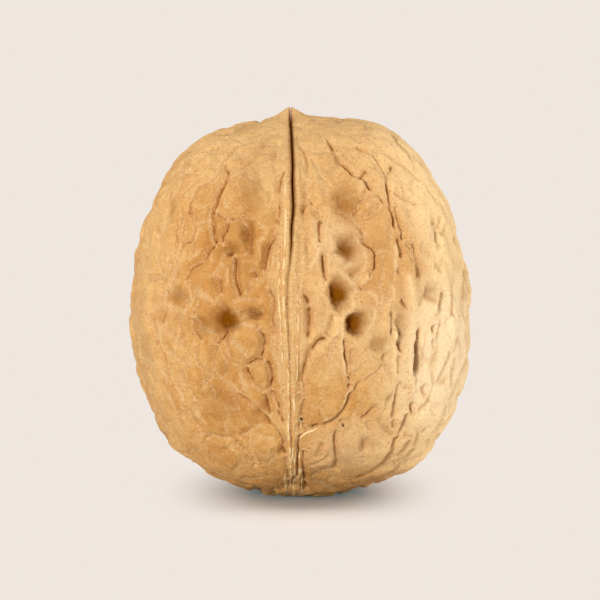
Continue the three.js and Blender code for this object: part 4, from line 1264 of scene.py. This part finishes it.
def shellCrumbs(trees, halves):
    points = [touchFront(trees, across, height, 0) for across, height, size in crumbs["placed"]]
    sizes = [size for across, height, size in crumbs["placed"]]
    piece = startPiece("shell_crumbs", points, [], "size", sizes)
    growth = Growth("shellCrumbs", {
        "Left half": ("Object", halves[0]), "Right half": ("Object", halves[1]),
        "Count": ("Float", crumbs["count"] / mm ** 2), "Small": ("Float", crumbs["small"]),
        "Large": ("Float", crumbs["large"]), "Seed": ("Int", crumbs["seed"]),
        "Material": ("Material", crumbFinish())})
    given = growth.given
    sides = [growth.node("GeometryNodeObjectInfo", None, {"Object": given[name]})["Geometry"]
             for name in ("Left half", "Right half")]
    ground = growth.tree.nodes.new("GeometryNodeJoinGeometry")
    for side in sides:
        growth.tree.links.new(side, ground.inputs[0])
    dusty = growth.node("GeometryNodeInputNamedAttribute", {"data_type": "FLOAT"}, {"Name": "dust"})[0]
    dusty = growth.node("ShaderNodeMath", {"operation": "MULTIPLY_ADD"}, {0: dusty, 1: 1.0, 2: 0.15})[0]
    dusty = growth.node("ShaderNodeMath", {"operation": "MULTIPLY"}, {0: dusty, 1: given["Count"]})[0]
    spread = growth.node("GeometryNodeDistributePointsOnFaces", None,
                         {"Mesh": ground.outputs[0], "Density": dusty, "Seed": given["Seed"]})[0]
    size = growth.node("FunctionNodeRandomValue", {"data_type": "FLOAT"},
                       {2: given["Small"], 3: given["Large"], "Seed": given["Seed"]})[1]
    spread = growth.node("GeometryNodeStoreNamedAttribute", {"data_type": "FLOAT", "domain": "POINT"},
                         {"Geometry": spread, "Name": "size", "Value": size})[0]
    placed = growth.node("GeometryNodeMeshToPoints", None, {"Mesh": given["Geometry"]})[0]
    every = growth.tree.nodes.new("GeometryNodeJoinGeometry")
    for part in (spread, placed):
        growth.tree.links.new(part, every.inputs[0])
    grain = growth.node("GeometryNodeMeshIcoSphere", None, {"Radius": mm, "Subdivisions": 1})[0]
    turn = growth.node("FunctionNodeRandomValue", {"data_type": "FLOAT_VECTOR"},
                       {0: (0, 0, 0), 1: (6.28, 6.28, 6.28), "Seed": given["Seed"]})[0]
    size = growth.node("GeometryNodeInputNamedAttribute", {"data_type": "FLOAT"}, {"Name": "size"})[0]
    squash = growth.node("FunctionNodeRandomValue", {"data_type": "FLOAT_VECTOR"},
                         {0: (0.6, 0.6, 0.6), 1: (1.3, 1.3, 1.3), "Seed": given["Seed"]})[0]
    shape = growth.node("ShaderNodeVectorMath", {"operation": "SCALE"}, {0: squash, "Scale": size})[0]
    strewn = growth.node("GeometryNodeInstanceOnPoints", None,
                         {"Points": every.outputs[0], "Instance": grain, "Rotation": turn, "Scale": shape})[0]
    return growth.finishOn(piece, strewn)


def fibreFinish():
    finish = Finish("seamFibre")
    place = finish.node("ShaderNodeTexCoord").outputs["Object"]
    streak = finish.between(finish.grain(place, 900.0, 2), 0.4, 0.6)
    shader = finish.node("ShaderNodeBsdfPrincipled", None,
                         {"Base Color": finish.blend(streak, strandLook["shade"], strandLook["color"])})
    shader.inputs["Roughness"].default_value = 0.6
    finish.node("ShaderNodeOutputMaterial", None, {"Surface": shader.outputs[0]})
    return finish.material


def crumbFinish():
    finish = Finish("paleCrumb")
    shader = finish.node("ShaderNodeBsdfPrincipled", None, {"Base Color": crumbs["color"]})
    shader.inputs["Roughness"].default_value = 0.7
    finish.node("ShaderNodeOutputMaterial", None, {"Surface": shader.outputs[0]})
    return finish.material


# Floor, light and camera.
studio = {
    "paper": linear(239, 231, 223),
    "floorAlbedo": (0.8, 0.8, 0.8, 1),
    "floorRadius": 1.2, "fadeFrom": 4 * mm, "fadeTo": 17 * mm,
    "shadowShape": (1, 0.4, 1), "shadowShift": (-1.6 * mm, 0, 0), "domeRadius": 4.0,
    "lens": 500.0, "sensor": 36, "aimX": 1.04 * mm, "aimZ": 21.05 * mm, "viewWidth": 65.4 * mm,
}


def makeStage():
    ringSizes = [0, 0.02, 0.05, 0.1, 0.2, 0.4, 0.8, studio["floorRadius"]]
    around = 96
    vertices = [(0, 0, 0)]
    faces = []
    for ring, size in enumerate(ringSizes[1:]):
        for step in range(around):
            turn = step / around * 2 * math.pi
            vertices.append((size * math.cos(turn), size * math.sin(turn), 0))
            first, after = 1 + ring * around, (step + 1) % around
            if ring == 0:
                faces.append((0, first + step, first + after))
            else:
                faces.append((first - around + step, first + step, first + after, first - around + after))
    mesh = bpy.data.meshes.new("paperFloor")
    mesh.from_pydata(vertices, [], faces)
    paper = bpy.data.objects.new("paperFloor", mesh)
    bpy.context.scene.collection.objects.link(paper)
    finish = Finish("palePaper")
    place = finish.node("ShaderNodeTexCoord").outputs["Object"]
    squashed = finish.node("ShaderNodeVectorMath", {"operation": "MULTIPLY_ADD"},
                           {0: place, 1: studio["shadowShape"], 2: studio["shadowShift"]}).outputs[0]
    away = finish.node("ShaderNodeVectorMath", {"operation": "LENGTH"}, {0: squashed})
    out = Signal(finish, away.outputs["Value"])
    lit = finish.node("ShaderNodeBsdfDiffuse", None, {"Color": studio["floorAlbedo"]})
    even = finish.node("ShaderNodeEmission", None, {"Color": studio["paper"], "Strength": 1.0})
    fade = finish.between(out, studio["fadeFrom"], studio["fadeTo"])
    both = finish.node("ShaderNodeMixShader", None, {0: fade, 1: lit.outputs[0], 2: even.outputs[0]})
    finish.node("ShaderNodeOutputMaterial", None, {"Surface": both.outputs[0]})
    mesh.materials.append(finish.material)
    bpy.ops.mesh.primitive_uv_sphere_add(segments=64, ring_count=32, radius=studio["domeRadius"])
    dome = bpy.context.object
    dome.name = "paperDome"
    for kind in ("diffuse", "glossy", "transmission", "volume_scatter", "shadow"):
        setattr(dome, "visible_" + kind, False)
    wall = Finish("paperWall")
    glow = wall.node("ShaderNodeEmission", None, {"Color": studio["paper"], "Strength": 1.0})
    wall.node("ShaderNodeOutputMaterial", None, {"Surface": glow.outputs[0]})
    dome.data.materials.append(wall.material)
    return paper


room = {"power": 0.22, "tone": (1, 0.985, 0.965)}
lamps = {
    "top": {"at": (-0.15, -0.1, 1.2), "size": (0.35, 0.35), "power": 7, "tone": (1, 0.98, 0.95)},
    "front": {"at": (-0.38, -1.0, 0.28), "size": (0.25, 0.25), "power": 10.3, "tone": (1, 0.98, 0.95)},
    "rightRim": {"at": (0.95, 0.05, 0.08), "size": (0.6, 0.6), "power": 10.5, "tone": (1, 1, 1)},
    "leftRim": {"at": (-0.95, 0.3, 0.08), "size": (0.5, 0.5), "power": 2.5, "tone": (1, 1, 1)},
    "sky": {"at": (0, -0.01, 0.8), "size": (6, 0.5), "power": 25, "tone": (1, 0.83, 0.7)},
    "wash": {"at": (0, 0, 1), "size": None, "power": 0.45, "tone": (0.42, 0.8, 1)},
}
floorLamps = ("sky", "wash")  # these light the floor only, the others the nut only


def makeLamps():
    world = bpy.data.worlds.new("room")
    world.use_nodes = True
    background = world.node_tree.nodes["Background"]
    background.inputs["Color"].default_value = (*room["tone"], 1)
    background.inputs["Strength"].default_value = room["power"]
    bpy.context.scene.world = world
    lit = {name: bpy.data.collections.new("lit_" + name) for name in ("shell", "floor")}
    for name, lamp in lamps.items():
        onto = "floor" if name in floorLamps else "shell"
        light = bpy.data.lights.new(name, "AREA" if lamp["size"] else "SUN")
        light.energy = lamp["power"]
        light.color = lamp["tone"]
        if lamp["size"]:
            light.shape = "ELLIPSE" if onto == "shell" else "RECTANGLE"
            light.size, light.size_y = lamp["size"]
        else:
            light.use_shadow = False
        holder = bpy.data.objects.new(name, light)
        holder.location = lamp["at"]
        toNut = Vector((0, 0, 0.02)) - Vector(lamp["at"])
        holder.rotation_euler = toNut.to_track_quat("-Z", "Y").to_euler()
        holder.visible_camera = False
        holder.light_linking.receiver_collection = lit[onto]
        bpy.context.scene.collection.objects.link(holder)
    return lit


def makeCamera():
    camera = bpy.data.cameras.new("camera")
    camera.sensor_width = studio["sensor"]
    camera.lens = studio["lens"]
    holder = bpy.data.objects.new("camera", camera)
    distance = studio["viewWidth"] * studio["lens"] / studio["sensor"]
    tilt = math.radians(form["lookDown"])
    aim = Vector((studio["aimX"], 0, studio["aimZ"]))
    holder.location = aim + distance * Vector((0, -math.cos(tilt), math.sin(tilt)))
    holder.rotation_euler = (math.pi / 2 - tilt, 0, 0)
    camera.clip_start, camera.clip_end = 0.01, 20
    bpy.context.scene.collection.objects.link(holder)
    bpy.context.scene.camera = holder


makeCamera()
lit = makeLamps()
lit["floor"].objects.link(makeStage())
bpy.context.scene.view_settings.view_transform = "Standard"
print("camera, lamps and paper made")

shellSkin = shellFinish()
halves = []
for name, side in (("shell_left_half", -1), ("shell_right_half", 1)):
    half = buildHalf(name, side)
    print(name, "shaped,", len(half.data.vertices), "points")
    thinOut(half, grid["trianglesPerHalf"])
    half.data.materials.clear()
    half.data.materials.append(shellSkin)
    print(name, "thinned to", len(half.data.polygons), "faces")
    halves.append(half)
    lit["shell"].objects.link(half)

trees = [BVHTree.FromObject(half, bpy.context.evaluated_depsgraph_get()) for half in halves]
small = [seamFibres(trees), shellCrumbs(trees, halves)]
for piece in small:
    print(piece.name, "grown,", len(piece.data.polygons), "faces")
    lit["shell"].objects.link(piece)

for half in halves:
    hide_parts("walnut")
for piece in halves + small:
    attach(piece, "root")
